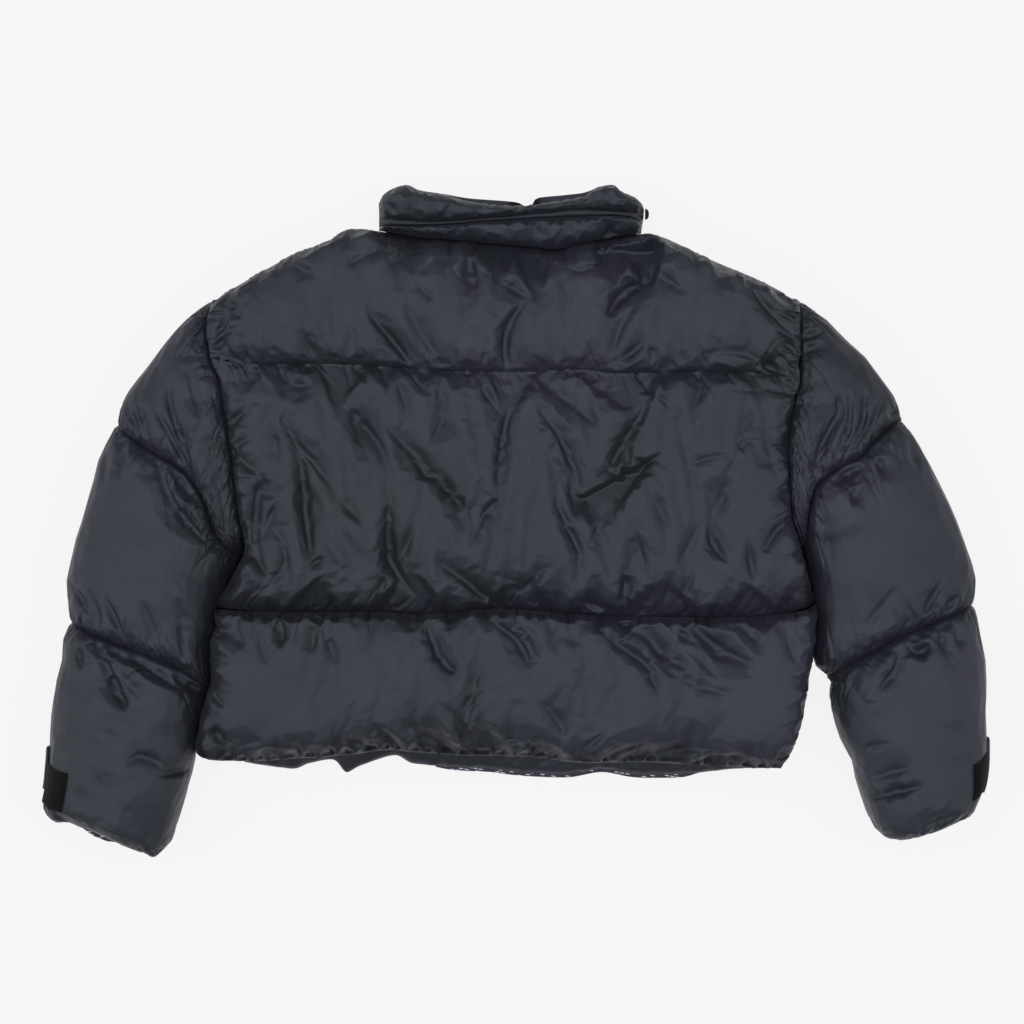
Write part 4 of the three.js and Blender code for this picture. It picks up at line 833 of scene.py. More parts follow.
ZL, ZR = ZIP_X - ZIP_CHANNEL, ZIP_X + ZIP_CHANNEL
y_at = lambda rows, x: float(np.interp(x, [r[0] for r in rows], [r[1] for r in rows]))
zip_side = lambda x, south, north: [(x, y_at(south, x)), (x, y_at(north, x))]
under_f = lambda t: np.where(t > 0.42, VALLEY_FRONT, (LAYER - 1.5) + (VALLEY_FRONT - LAYER + 1.5) * np.clip((t - 0.2) / 0.22, 0, 1))
MID_L = rev(SIDE_L[:3])[:-1] + [SIDE_L[0]] + rev(ARM_L[3:9])
MID_R = rev(SIDE_R[:3])[:-1] + [SIDE_R[0]] + rev(ARM_R[3:8])
for n, (row, south, north, left, right, lo, hi, side) in enumerate([
        ("yoke", SEAM_1, SHOULDERS, rev(ARM_L[:4]), rev(ARM_R[:4]), None, LAYER - 1.5, None),
        ("middle", SEAM_2, SEAM_1, MID_L, MID_R, None, None, under_f),
        ("hem", HEM, SEAM_2, rev(SIDE_L[2:]), rev(SIDE_R[2:]), LAYER - 1.5, None, LAYER - 1.5)]):
    group = {"yoke": "yoke", "middle": "mid", "hem": "hem"}[row]
    front_baffle("front_left_" + row, group, (between(south, south[0][0], ZL), between(north, north[0][0], ZL), left, zip_side(ZL, south, north)),
                 (lo, hi, side, None), 50 + 7 * n)
    front_baffle("front_right_" + row, group, (between(south, ZR, south[-1][0]), between(north, ZR, north[-1][0]), zip_side(ZR, south, north), right),
                 (lo, hi, None, side), 80 + 7 * n)


# ------------------------------------------------------------------ sleeves
def sleeve(name, side, k, group, seeds):
    table = SLEEVES[side]
    arm = ARM_L if side == "left" else ARM_R
    seams = [arm, table["seam1"], table["seam2"], table["cuff"]]
    south, north, west, east = seams[k], seams[k + 1], table["outer"][k], table["inner"][k]
    if k:
        # the inner edge presses against the body's side
        toward = 1 if side == "left" else -1
        near = lambda y: 5.5 * min(1, max(0, (-y - 60) / 40)) * min(1, max(0, (y + 262) / 20))
        east = [(x + toward * near(y), y) for x, y in east]
        tip = lambda rows: [*rows[:-1], (rows[-1][0] + toward * near(rows[-1][1]), rows[-1][1])]
        south, north = tip(south), tip(north)
    length = np.mean([np.hypot(*np.diff(np.array(v, float), axis=0).T).sum() for v in (west, east)]) if k else np.hypot(*np.diff(np.array(west, float), axis=0).T).sum()
    rows = count(length, STEP)
    width = 0.5 * sum(np.hypot(*np.diff(np.array(v, float), axis=0).T).sum() for v in (south, north))
    # the angle round the ring: even steps of cloth over the top, wider ones underneath
    a = np.linspace(0, 2 * np.pi, 2001)
    rise = np.abs(np.sin(a)) ** 0.72
    sx, sz = width * (1 - np.cos(a)) / 2, np.where(a < np.pi, 52 * rise, -34 * np.minimum(1, 1.2 * rise))
    run = np.r_[0, np.cumsum(np.hypot(np.diff(sx), np.diff(sz)) * np.where(a[1:] < np.pi * 1.12, 1.0, np.where(a[1:] > np.pi * 1.9, 1.0, 0.5)))]
    n = count(run[-1], STEP, 4)
    ang = np.interp(np.arange(n) / n * run[-1], run, a)
    xy, ss, tt, wide, tall = plan(south, north, west, east, n - 1, rows, gap=(0.5 if k == 0 else 0.2, 0.2, 0.2, 1.0 if k == 0 else 0.3), s=(1 - np.cos(ang)) / 2)
    t = tt
    d1, d2 = t * tall, (1 - t) * tall
    # near the inner edge of the sleeve head the seams come together
    reach = np.clip(np.minimum(20, tall * 0.5), 6, 80)
    fill = swell(d1, reach, 0.60) * swell(d2, reach, 0.60)
    fill = fill * (0.93 + 0.07 * swell(d1, np.maximum(tall, 12) * 0.5, 1.0) * swell(d2, np.maximum(tall, 12) * 0.5, 1.0))
    end = np.where(t > 0.5, 1.0, 0.0) * (1.0 if k == 2 else 0.0)
    seam_top = SLEEVE_SEAM + (72 - SLEEVE_SEAM) * end + (3.0 * np.clip(1 - 2 * t, 0, 1) if k == 0 else 0)
    seam_low = SLEEVE_LOW + (5 - SLEEVE_LOW) * end
    sina = np.sin(ang)[None, :] * np.ones_like(t)
    over = sina >= 0
    shape = np.abs(sina) ** 0.72
    crest = SLEEVE_CREST + 2.2 * noise2(xy[..., 0], xy[..., 1], 90, seeds) + 1.0 * noise2(xy[..., 0], xy[..., 1], 38, seeds + 1)
    up = seam_top + (crest - seam_top) * fill - LAYER
    down = LAYER - seam_low * (1 - np.clip(1.5 * fill, 0, 1))
    z = np.where(over, LAYER + up * shape, LAYER - np.minimum(down, 1.2 * down * shape))
    soft = np.clip(np.minimum(d1, d2) / 8, 0, 1)
    girth = np.interp(ang, a, np.r_[0, np.cumsum(np.hypot(np.diff(sx), np.diff(sz)))])[None, :] * np.ones_like(t)
    girth = girth * (np.hypot(*(xy[:, np.argmin(np.abs(ang - np.pi))] - xy[:, 0]).T) / width)[:, None]
    press = creases(xy, group, scale=0.6, narrow=0.7) * soft * np.clip(sina * 1.6, 0, 1) + creases(xy, group, scale=0.5, narrow=0.7, move=(-7, 11), seed=900) * soft * np.clip(-sina * 1.6, 0, 1)
    # press in along the ring's own normal
    mid = np.array([0.5 * (xy[:, 0] + xy[:, np.argmin(np.abs(ang - np.pi))])])[0]
    p = np.dstack([xy, z])
    ds_ = np.roll(p, -1, 1) - np.roll(p, 1, 1)
    dt_ = np.gradient(p, axis=0)
    nrm = np.cross(ds_, dt_)
    nrm /= np.linalg.norm(nrm, axis=2)[..., None] + 1e-9
    c = np.dstack([np.broadcast_to(mid[:, None, :], xy.shape), np.full(z.shape, LAYER)])
    sign = np.sign(np.einsum("ijk,ijk->", nrm, p - c))
    p -= nrm * sign * press[..., None]
    p[..., 2] = np.maximum(p[..., 2], 0.0)
    if k == 2 and side == "left":
        # the lower layer of this cuff reaches past the upper one
        s_row = ss[-1]
        lip = 9.5 * np.where(sina[-1] < -1e-6, np.sin(np.pi * np.clip((s_row - 0.08) / 0.56, 0, 1)) ** 0.8, 0)
        tail = np.clip(1 - d2 / 40, 0, 1) ** 2
        p[..., 1] -= lip[None, :] * tail * np.where(sina < -1e-6, 1, 0)
    low = np.where(over & (shape > 0.15), LAYER - 8, 0.0)
    cl = Cloth(name, p, ring=True, grow_s=0.020 * (1 + 0.8 * np.exp(-np.minimum(d1, d2) / 22)), grow_t=0.008, pressure=0.012, hold=0.004, low=low, high=101.5, out=float(sign))
    cl.aux = np.dstack([girth, d1, d2 if k < 2 else d2 + 25, d1 + 99, d1 + 99, np.where(over, 1, -1) * np.clip(shape * 1.6, 0, 1), 0 * girth])
    cl.fine = dict(seeds=seeds + 5, low=0.0, group=group)
    # the layers' inner faces lie on each other
    slit = (1 - fill) ** 1.5 * (1 - end)
    in_up = 1.1 + (SLEEVE_SEAM - LAYER - 5) * slit
    in_down = 1.1 + (LAYER - SLEEVE_LOW - 5) * slit
    inset = (4 + 10 * np.minimum(1, fill * 1.5)) / np.maximum(wide, 30)
    inner_rows = []
    m = 8
    pick = [int(round(v)) for v in np.linspace(0, rows, m + 1)]
    for j in pick:
        s2 = inset[j] + ss[j] * (1 - 2 * inset[j])
        q = plan(south, north, west, east, n - 1, 1, gap=(0.5 if k == 0 else 0.2, 0.2, 0.2, 1.0 if k == 0 else 0.3), s=s2, t=np.array([t[j, 0], min(1, t[j, 0] + 1e-3)]))[0][0]
        zz = np.where(over[j], LAYER + in_up[j] * shape[j], LAYER - in_down[j] * shape[j])
        inner_rows.append(np.column_stack([q, zz]))
    pads.append(("ring", name, cl, inner_rows))
    sleeve_angles[side, k] = ang
    return cl


sleeves, sleeve_angles = {}, {}
for side in ("left", "right"):
    for k, row in enumerate(("upper", "middle", "cuff")):
        group = ("sl_" if side == "left" else "sr_") + row
        sleeves[side, k] = sleeve(f"sleeve_{side}_{row}", side, k, group, 200 + 20 * k + (90 if side == "right" else 0))


# ------------------------------------------------------------------ collar pads
C_LAYER = 35.2
C_LOW = C_LAYER + 3.1


def collar_pad(name, group, rows, crest, edges, seeds, rows_min=6):
    south, north, west, east = rows
    step = STEP * 0.62
    nx = count(abs(south[-1][0] - south[0][0]), step)
    tall0 = np.mean([p[1] for p in north]) - np.mean([p[1] for p in south])
    ny = max(rows_min, count(tall0 * 1.2, step))
    xy, ss, tt, wide, tall = plan(south, north, west, east, nx, ny, gap=(0.1,) * 4)
    level = np.maximum(level_at(ss, tt, wide, tall, edges, 59, 22), C_LOW)
    reach = np.clip(tall * 0.5, 3, 30)
    ds, dn, dw, de = tt * tall, (1 - tt) * tall, ss * wide, (1 - ss) * wide
    full = (swell(ds, reach, 0.6) if group == "collar_up" else swell(ds, tall * 0.8, 0.85)) * swell(dn, reach if group == "collar_up" else tall * 0.2, 0.6) * swell(dw, 22) * swell(de, 22)
    z = level + (crest + 1.5 * noise2(xy[..., 0], xy[..., 1], 60, seeds) - level) * full
    soft = np.clip(np.minimum.reduce([ds, dn, dw, de]) / 4, 0, 1)
    press = creases(xy, group) * soft
    gather = dict(space=(9, 24), length=(6, 15), width=(2.2, 4.2), deep=(0.5, 1.7))
    press += puckers(ss * wide, ds, seeds + 2, **gather) * np.clip(ds / 3, 0, 1) + puckers(ss * wide, dn, seeds + 3, **gather) * np.clip(dn / 3, 0, 1)
    z = np.maximum(z - press, C_LOW - 1)
    c = Cloth(name, np.dstack([xy, z]), grow_s=growth(tt, tall, 0.03, 0.015, 12), grow_t=0.02, pressure=0.03, low=C_LAYER + 1.5)
    c.aux, c.fine = None, dict(seeds=seeds + 5, low=C_LAYER + 1.5)
    under = C_LAYER + 0.3 + 0 * z
    pads.append(("pad", name, c, np.dstack([xy, np.minimum(under, z - 1)])))


ends = lambda s, n: ([s[0], n[0]], [s[-1], n[-1]])
CREASES["collar_up"] = [
    ("S", 1, [(-49, 350), (-17, 336)]), ("D", 1, [(24, 346), (60, 350), (96, 349)]), ("S", -1, [(52, 337), (94, 341)]),
    ("V", 1, [(10, 349), (15, 341)]), ("S", 1, [(-120, 336), (-96, 350)]), ("D", -1, [(-141, 345), (-128, 333)]),
    ("S", 1, [(118, 343), (131, 336)]), ("T", 1, [(-80, 331), (-70, 343)]), ("T", -1, [(101, 356), (108, 345)]),
]
CREASES["collar_low"] = [
    ("D", 1, [(16, 323), (24, 315), (33, 307)]), ("V", 1, [(91, 317), (102, 316), (110, 315)]), ("S", 1, [(-70, 318), (-58, 309)]),
    ("T", 1, [(-118, 316), (-110, 310)]), ("S", -1, [(58, 326), (66, 312)]),
]
collar_pad("collar_back_upper", "collar_up", (COLLAR_STITCH, COLLAR_TOP, *ends(COLLAR_STITCH, COLLAR_TOP)), 73, (None, C_LOW, C_LOW, C_LOW), 301)
collar_pad("collar_back_lower", "collar_low", (COLLAR_FOOT, COLLAR_LINE, *ends(COLLAR_FOOT, COLLAR_LINE)), 71, (54, None, C_LOW, C_LOW), 311, 5)

for side in ("left", "right"):
    x0, x1 = (-148, ZIP_X - 3.1) if side == "left" else (ZIP_X + 3.1, 137)
    south = [(x, y + 1) for x, y in between(COLLAR_FOOT, x0, x1)]
    north = between(COLLAR_FRONT, x0, x1)
    nx, ny = count(x1 - x0, 4.0), count(48, 4.0)
    xy, ss, tt, wide, tall = plan(south, north, *ends(south, north), nx, ny, gap=(0.25,) * 4)
    to_zip = (1 - ss if side == "left" else ss) * wide
    to_end = (ss if side == "left" else 1 - ss) * wide
    rise = np.maximum(fall(to_end, 30), fall((1 - tt) * tall, 16))
    level = 14 + (C_LAYER - 14) * rise
    full = swell(tt * tall, tall * 0.5) * swell((1 - tt) * tall, tall * 0.5) * swell(to_end, 26) * swell(to_zip, 22)
    z = np.maximum((level - 2.5) * np.clip(1 - 1.7 * full, 0, 1), 9 * np.clip((24 - to_zip) / 14, 0, 1))
    z += puckers(ss * wide, tt * tall, 330) * 0.5 + puckers(ss * wide, (1 - tt) * tall, 331) * 0.5
    z = np.clip(z, 0, C_LAYER - 2)
    over = np.maximum(level + (C_LAYER - level) * full, z + 1.2)
    pads.append(("fixed", "collar_front_" + side, np.dstack([xy, z]), np.dstack([xy, np.minimum(over, C_LAYER)])))

relax(Cloth.all, STEPS, sweeps=3, bend=0.3)

def gathers(press, aux, ring, sizes, seed):
    """folds of the sizes given along every seam of a piece"""
    for n, size in enumerate(sizes):
        press = np.maximum(press, puckers(aux[..., 0], aux[..., 1], seed + 2 * n, **size) * np.clip((aux[..., 1] - 2) / 4, 0, 1))
        press = np.maximum(press, puckers(aux[..., 0], aux[..., 2], seed + 2 * n + 1, **size) * np.clip(aux[..., 2] / 2, 0, 1))
        if not ring:
            size = dict(size, length=(size["length"][0], size["length"][1] * 0.8))
            press = np.maximum(press, puckers(aux[..., 6], aux[..., 3], seed + 40 + n, **size) * np.clip(aux[..., 3] / 2, 0, 1))
            press = np.maximum(press, puckers(aux[..., 6], aux[..., 4], seed + 50 + n, **size) * np.clip(aux[..., 4] / 2, 0, 1))
    return press


def outward(p, ring, out):
    ds_ = (np.roll(p, -1, 1) - np.roll(p, 1, 1)) if ring else np.gradient(p, axis=1)
    nrm = np.cross(ds_, np.gradient(p, axis=0))
    return nrm * out / (np.linalg.norm(nrm, axis=2)[..., None] + 1e-9)


# the same cloth again on a grid twice as fine, with its creases and small gathers
fine_sheets = []
for kind, name, c, inner in pads:
    if kind == "fixed" or not hasattr(c, "fine"):
        continue
    ring = c.ring
    p = refine(c.p, ring)
    p[..., 2] = np.maximum(p[..., 2], 0.0)
    rows, cols = p.shape[:2]
    near = np.full((rows, cols), 99.0)
    if c.aux is not None:
        aux = refine(c.aux, ring)
        if ring:
            aux[..., 0] = np.cumsum(np.linalg.norm(np.roll(p, -1, 1) - p, axis=2), 1)
        near = np.minimum(aux[..., 1], aux[..., 2])
        rim = np.minimum(near, np.minimum(aux[..., 3], aux[..., 4]))
        side = np.clip(aux[..., 5], -1, 1)
        over, below = np.clip(side, 0, 1), np.clip(-side, 0, 1)
        press = creases(p[..., :2], c.fine["group"], scale=0.3 * STRESS.get(c.fine["group"], 1.0)) * over
        if "crest" in c.fine:
            p[1:-1, 1:-1, 2] = facets(p[..., :2], p[..., 2], c.fine["group"], c.fine["crest"] + 1)[1:-1, 1:-1]
        if below.any():
            press += creases(p[..., :2], c.fine["group"], move=(-7, 11), seed=900) * below * 0.25
        press *= np.clip(rim / 7, 0, 1)
        if "group" in c.fine and not c.fine["group"].startswith("collar"):
            seed = c.fine["seeds"]
            sizes = [dict(space=(30, 80), length=(26, 60), width=(5, 9), deep=(2.0, 4.4))]
            if ring:
                sizes = [dict(space=(22, 50), length=(26, 60), width=(5, 9), deep=(2.0, 4.4))]
            press = gathers(press, aux, ring, sizes, seed)
        p = p - outward(p, ring, c.out) * press[..., None]
        if c.aux is not None:
            c.fine["aux"] = aux
    c.face = p
    f = Cloth.__new__(Cloth)
    f.name, f.p, f.ring, f.out = name, p, ring, c.out
    f.pin = np.zeros((rows, cols), bool)
    f.pin[0] = f.pin[-1] = True
    if not ring:
        f.pin[:, 0] = f.pin[:, -1] = True
    f.grow_s = 0.001 + 0.014 * np.exp(-near / 14)
    f.grow_t = 0.001
    f.pressure, f.hold, f.high = 0.0, 0.08, 101.5
    f.low = c.fine["low"]
    f.source = c
    fine_sheets.append(f)
if fine_sheets:
    relax(fine_sheets, FINE_STEPS, sweeps=2, bend=0.03, cap_at=0.6)
    for f in fine_sheets:
        f.source.face = f.p
for n, (kind, name, c, inner) in enumerate(pads):
    if kind != "fixed":
        c.face = crisp(c.face if hasattr(c, "face") else refine(c.p, c.ring), c.ring, seed=600 + n)
        fine = getattr(c, "fine", {})
        if "aux" in fine:
            # the thin sharp folds lie over the facets
            aux, group = fine["aux"], fine["group"]
            rim = np.minimum.reduce([aux[..., k] for k in (1, 2, 3, 4)])
            over, below = np.clip(aux[..., 5], 0, 1), np.clip(-aux[..., 5], 0, 1)
            press = creases(c.face[..., :2], group, scale=0.38 if c.ring else 0.26 * STRESS[group], narrow=0.36) * over
            if below.any():
                press += creases(c.face[..., :2], group, move=(-7, 11), seed=900, scale=0.3, narrow=0.42) * below
            press *= np.clip(rim / 5, 0, 1)
            sizes = [dict(space=(10, 34), length=(14, 46), width=(2.4, 4.2), deep=(1.6, 4.0)), dict(space=(5, 14), length=(6, 20), width=(1.8, 3.0), deep=(0.9, 2.4))]
            if c.ring:
                sizes = [dict(space=(7, 22), length=(16, 60), width=(2.4, 4.2), deep=(2.0, 4.6)), dict(space=(4, 11), length=(8, 24), width=(1.8, 3.0), deep=(1.1, 2.8))]
            press = gathers(press, aux, c.ring, sizes, fine["seeds"] + 70)
            c.face = c.face - outward(c.face, c.ring, c.out) * press[..., None]
            c.face[..., 2] = np.maximum(c.face[..., 2], fine["low"])
        c.face[..., 2] = np.clip(c.face[..., 2], 0.0, 102.0)

# ------------------------------------------------------------------ materials
SHADE = {}


def node_group(mat):
    mat.use_nodes = True
    nt = mat.node_tree
    for n in list(nt.nodes):
        nt.nodes.remove(n)
    out = nt.nodes.new("ShaderNodeOutputMaterial")
    bsdf = nt.nodes.new("ShaderNodeBsdfPrincipled")
    nt.links.new(bsdf.outputs[0], out.inputs[0])
    return nt, bsdf


def put(sock_owner, name, value):
    if name in sock_owner.inputs:
        sock_owner.inputs[name].default_value = value


def noise_node(nt, scale, detail=2.0, rough=0.5, stretch=None):
    tex = nt.nodes.new("ShaderNodeTexNoise")
    tex.inputs["Scale"].default_value = scale
    tex.inputs["Detail"].default_value = detail
    tex.inputs["Roughness"].default_value = rough
    coord = nt.nodes.new("ShaderNodeTexCoord")
    if stretch:
        mp = nt.nodes.new("ShaderNodeMapping")
        mp.inputs["Scale"].default_value = stretch
        nt.links.new(coord.outputs["Object"], mp.inputs["Vector"])
        nt.links.new(mp.outputs[0], tex.inputs["Vector"])
    else:
        nt.links.new(coord.outputs["Object"], tex.inputs["Vector"])
    return tex


def weave(nt, per_metre):
    """height of a plain weave, from two crossed waves"""
    coord = nt.nodes.new("ShaderNodeTexCoord")
    outs = []
    for axis in ("X", "Y"):
        w = nt.nodes.new("ShaderNodeTexWave")
        w.wave_type, w.bands_direction, w.wave_profile = "BANDS", axis, "SIN"
        w.inputs["Scale"].default_value = per_metre
        w.inputs["Distortion"].default_value = 0.0
        nt.links.new(coord.outputs["Object"], w.inputs["Vector"])
        outs.append(w.outputs["Fac"])
    m = nt.nodes.new("ShaderNodeMath"); m.operation = "ADD"
    nt.links.new(outs[0], m.inputs[0]); nt.links.new(outs[1], m.inputs[1])
    return m.outputs[0]


def bump(nt, bsdf, layers):
    last = None
    for height, strength, distance in layers:
        b = nt.nodes.new("ShaderNodeBump")
        b.inputs["Strength"].default_value = strength
        b.inputs["Distance"].default_value = distance
        nt.links.new(height, b.inputs["Height"])
        if last is not None:
            nt.links.new(last, b.inputs["Normal"])
        last = b.outputs[0]
    nt.links.new(last, bsdf.inputs["Normal"])


def ramp(nt, fac, stops):
    r = nt.nodes.new("ShaderNodeValToRGB")
    r.color_ramp.elements[0].position, r.color_ramp.elements[0].color = stops[0][0], (*stops[0][1], 1)
    r.color_ramp.elements[1].position, r.color_ramp.elements[1].color = stops[-1][0], (*stops[-1][1], 1)
    for pos, col in stops[1:-1]:
        e = r.color_ramp.elements.new(pos)
        e.color = (*col, 1)
    nt.links.new(fac, r.inputs["Fac"])
    return r.outputs["Color"]


def shell_material():
    mat = bpy.data.materials.new("shell_nylon")
    nt, b = node_group(mat)
    big = noise_node(nt, 5.0, 3.0, 0.55)
    col = ramp(nt, big.outputs["Fac"], [(0.30, (0.0078, 0.0095, 0.0122)), (0.50, (0.0088, 0.0100, 0.0152)), (0.68, (0.0138, 0.0134, 0.0232))])
    # painted shade: along the hem's edge, where the cloth turns under, a per-point mask darkens the colour and lowers
    # the specular level, standing in for the shade there
    turn = nt.nodes.new("ShaderNodeAttribute"); turn.attribute_name = "painted_hem_shade"
    dark = nt.nodes.new("ShaderNodeMix"); dark.data_type = "RGBA"
    nt.links.new(turn.outputs["Fac"], dark.inputs[0]); nt.links.new(col, dark.inputs[6]); dark.inputs[7].default_value = (0.0045, 0.005, 0.0075, 1)
    nt.links.new(dark.outputs[2], b.inputs["Base Color"])
    put(b, "Roughness", 0.50)
    put(b, "IOR", 1.5)
    shade_spec_level = nt.nodes.new("ShaderNodeMapRange")
    nt.links.new(turn.outputs["Fac"], shade_spec_level.inputs["Value"]); shade_spec_level.inputs["To Min"].default_value = 0.42; shade_spec_level.inputs["To Max"].default_value = 0.10
    nt.links.new(shade_spec_level.outputs["Result"], b.inputs["Specular IOR Level"])
    put(b, "Specular Tint", (0.81, 0.875, 1.0, 1.0))
    put(b, "Sheen Weight", 0.04)
    put(b, "Sheen Roughness", 0.5)
    put(b, "Sheen Tint", (0.75, 0.80, 1.0, 1.0))
    crinkle = noise_node(nt, 38.0, 4.0, 0.55)
    fine = noise_node(nt, 300.0, 2.0, 0.6, stretch=(0.35, 1.0, 1.0))
    bump(nt, b, [(weave(nt, 900.0), 0.10, 0.00012), (fine.outputs["Fac"], 0.12, 0.0004), (crinkle.outputs["Fac"], 0.10, 0.0030)])
    return mat


def plain_material(name, color, rough, spec=0.4, metal=0.0, sheen=0.0, grain=None, depth=0.0004):
    mat = bpy.data.materials.new(name)
    nt, b = node_group(mat)
    b.inputs["Base Color"].default_value = (*color, 1)
    put(b, "Roughness", rough)
    put(b, "Specular IOR Level", spec)
    put(b, "Metallic", metal)
    put(b, "Sheen Weight", sheen)
    if grain:
        tex = noise_node(nt, grain, 3.0, 0.6)
        bump(nt, b, [(tex.outputs["Fac"], 0.5, depth)])
    return mat


def lining_material():
    """dark woven lining with a loose pattern of short light dashes"""
    mat = bpy.data.materials.new("lining_dashes")
    nt, b = node_group(mat)
    # rows of dashes: long thin cells of a brick grid, a third of them light, their ends apart
    coord = nt.nodes.new("ShaderNodeTexCoord")
    mp = nt.nodes.new("ShaderNodeMapping")
    mp.inputs["Rotation"].default_value = (0, 0, 0.16)
    nt.links.new(coord.outputs["Object"], mp.inputs["Vector"])
    brick = nt.nodes.new("ShaderNodeTexBrick")
    nt.links.new(mp.outputs[0], brick.inputs["Vector"])
    brick.inputs["Scale"].default_value = 1.0
    brick.inputs["Brick Width"].default_value = 0.0062
    brick.inputs["Row Height"].default_value = 0.0026
    brick.inputs["Mortar Size"].default_value = 0.0008
    brick.inputs["Mortar Smooth"].default_value = 0.0
    brick.inputs["Color1"].default_value = (0, 0, 0, 1)
    brick.inputs["Color2"].default_value = (1, 1, 1, 1)
    brick.inputs["Mortar"].default_value = (0, 0, 0, 1)
    both = nt.nodes.new("ShaderNodeMath"); both.operation = "GREATER_THAN"; both.inputs[1].default_value = 0.56
    nt.links.new(brick.outputs["Color"], both.inputs[0])
    col = ramp(nt, both.outputs[0], [(0.4, (0.022, 0.022, 0.034)), (0.6, (0.50, 0.48, 0.62))])
    nt.links.new(col, b.inputs["Base Color"])
    put(b, "Roughness", 0.6)
    put(b, "Specular IOR Level", 0.3)
    return mat


MAT = {
    "shell": shell_material(),
    "lining": lining_material(),
    "hook_and_loop": plain_material("loop_tape", (0.004, 0.004, 0.0045), 0.95, 0.03, sheen=0.07, grain=2600.0, depth=0.0012),
    "zip_tape": plain_material("zip_tape", (0.010, 0.010, 0.012), 0.85, 0.2, sheen=0.1, grain=1500.0),
    "zip_teeth": plain_material("zip_teeth", (0.012, 0.012, 0.014), 0.38, 0.5),
    "zip_metal": plain_material("zip_metal", (0.05, 0.05, 0.055), 0.32, 0.5, metal=0.85),
    "thread": plain_material("thread", (0.030, 0.032, 0.042), 0.6, 0.3),
}


def dress(obj, slot, body="jacket", material=None):
    obj.data.materials.append(material or MAT[slot])
    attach(obj, body)
    return obj


# ------------------------------------------------------------------ build the padded pieces
for kind, name, c, inner in pads:
    if kind == "fixed":
        obj = pad_mesh(name + "_cloth", c, inner, 3)
    elif kind == "ring":
        fine = getattr(c, "face", None)
        if fine is None:
            fine = refine(c.p, True)
        fine[..., 2] = np.maximum(fine[..., 2], 0.0)
        rows2 = [np.asarray(refine(r[None].repeat(2, 0), True)[0]) for r in inner]
        obj = ring_mesh(name + "_cloth", fine, rows2)
    else:
        fine = getattr(c, "face", None)
        if fine is None:
            fine = refine(c.p)
        fine[..., 2] = np.maximum(fine[..., 2], 0.0)
        inn = refine(inner)
        obj = pad_mesh(name + "_cloth", fine, inn, 8)
        # painted shade: along the back hem's edge, a per-point mask over an uneven width, which the shell material uses
        # to darken the colour and lower the specular level in place of the shade where the cloth turns under
        if name == "back_hem":
            aux = c.fine["aux"] if "aux" in c.fine else refine(c.aux)
            wide_ = 17 + 9 * noise1(aux[..., 0], 46, 71) + 6 * noise1(aux[..., 0], 17, 72)
            hem_shade_mask = np.clip(1.25 - aux[..., 1] / np.clip(wide_, 6, 32), 0, 1) * (0.75 + 0.25 * noise1(aux[..., 0], 30, 73))
            hem_shade_mask[aux[..., 3] < 6] *= 0.5
            hem_shade_values = np.zeros(len(obj.data.vertices), np.float32)
            hem_shade_values[:hem_shade_mask.size] = np.clip(hem_shade_mask, 0, 1).ravel()
            obj.data.attributes.new("painted_hem_shade", "FLOAT", "POINT").data.foreach_set("value", hem_shade_values)
    dress(obj, "shell")
    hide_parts(name)


# ------------------------------------------------------------------ thin pieces
def sheet_mesh(name, top, thick, down=(0, 0, -1)):
    """closed thin sheet under a grid of points"""
    rows, cols = top.shape[:2]
    d = np.asarray(down, float) * thick
    low = top + d
    verts = np.vstack([top.reshape(-1, 3), low.reshape(-1, 3)])
    idx = np.arange(rows * cols).reshape(rows, cols)
    a, b, c, e = idx[:-1, :-1], idx[:-1, 1:], idx[1:, 1:], idx[1:, :-1]
    faces = np.stack([a, b, c, e], -1).reshape(-1, 4).tolist()
    k = rows * cols
    faces += [[f[3] + k, f[2] + k, f[1] + k, f[0] + k] for f in faces]
    rim = [int(v) for v in rim_of(rows, cols)]
    for p, q in zip(rim, rim[1:] + rim[:1]):
        faces.append([p, p + k, q + k, q])
    if signed_volume(verts, faces) < 0:
        faces = [f[::-1] for f in faces]
    return make_object(name, verts, faces, [rim, [v + k for v in rim]])


def stitches(name, paths, long=2.6, gap=1.1, wide=0.42, tall=0.30, slot="shell"):
    """runs of thread along polylines of points with normals, joined in one mesh"""
    verts, faces = [], []
    for pts, up in paths:
        pts = np.asarray(pts, float)
        up = np.broadcast_to(np.asarray(up, float), pts.shape)
        run = np.r_[0, np.cumsum(np.linalg.norm(np.diff(pts, axis=0), axis=1))]
        at = gap
        while at + long < run[-1]:
            a = np.array([np.interp(at, run, pts[:, i]) for i in range(3)])
            b = np.array([np.interp(at + long, run, pts[:, i]) for i in range(3)])
            n = np.array([np.interp(at + long / 2, run, up[:, i]) for i in range(3)])
            n /= np.linalg.norm(n)
            t = (b - a) / np.linalg.norm(b - a)
            s = np.cross(n, t) * wide / 2
            base = len(verts)
            m = (a + b) / 2 + n * tall
            for p, k in ((a, 0.35), (m, 1.0), (b, 0.35)):
                verts += [p - s * k, p + n * (tall * 0.75 * k), p + s * k, p - n * 0.3]
            for r in (0, 4):
                for q in range(4):
                    faces.append([base + r + q, base + r + (q + 1) % 4, base + r + 4 + (q + 1) % 4, base + r + 4 + q])
            faces.append([base, base + 3, base + 2, base + 1])
            faces.append([base + 8, base + 9, base + 10, base + 11])
            at += long + gap
    if signed_volume(np.array(verts), faces) < 0:
        faces = [f[::-1] for f in faces]
    obj = make_object(name, verts, faces)
    dress(obj, slot, material=MAT["thread"])
    return obj


def height_of(name):
    """heights of a finished baffle face, as a function of x and y"""
    face = next(c.face for kind, n, c, inner in pads if n == name)
    pts = face.reshape(-1, 3)
    def at(x, y):
        d = (pts[:, 0] - x) ** 2 + (pts[:, 1] - y) ** 2
        k = np.argpartition(d, 4)[:4]
        w = 1 / (d[k] + 0.3)
        return float((pts[k, 2] * w).sum() / w.sum())
    return at


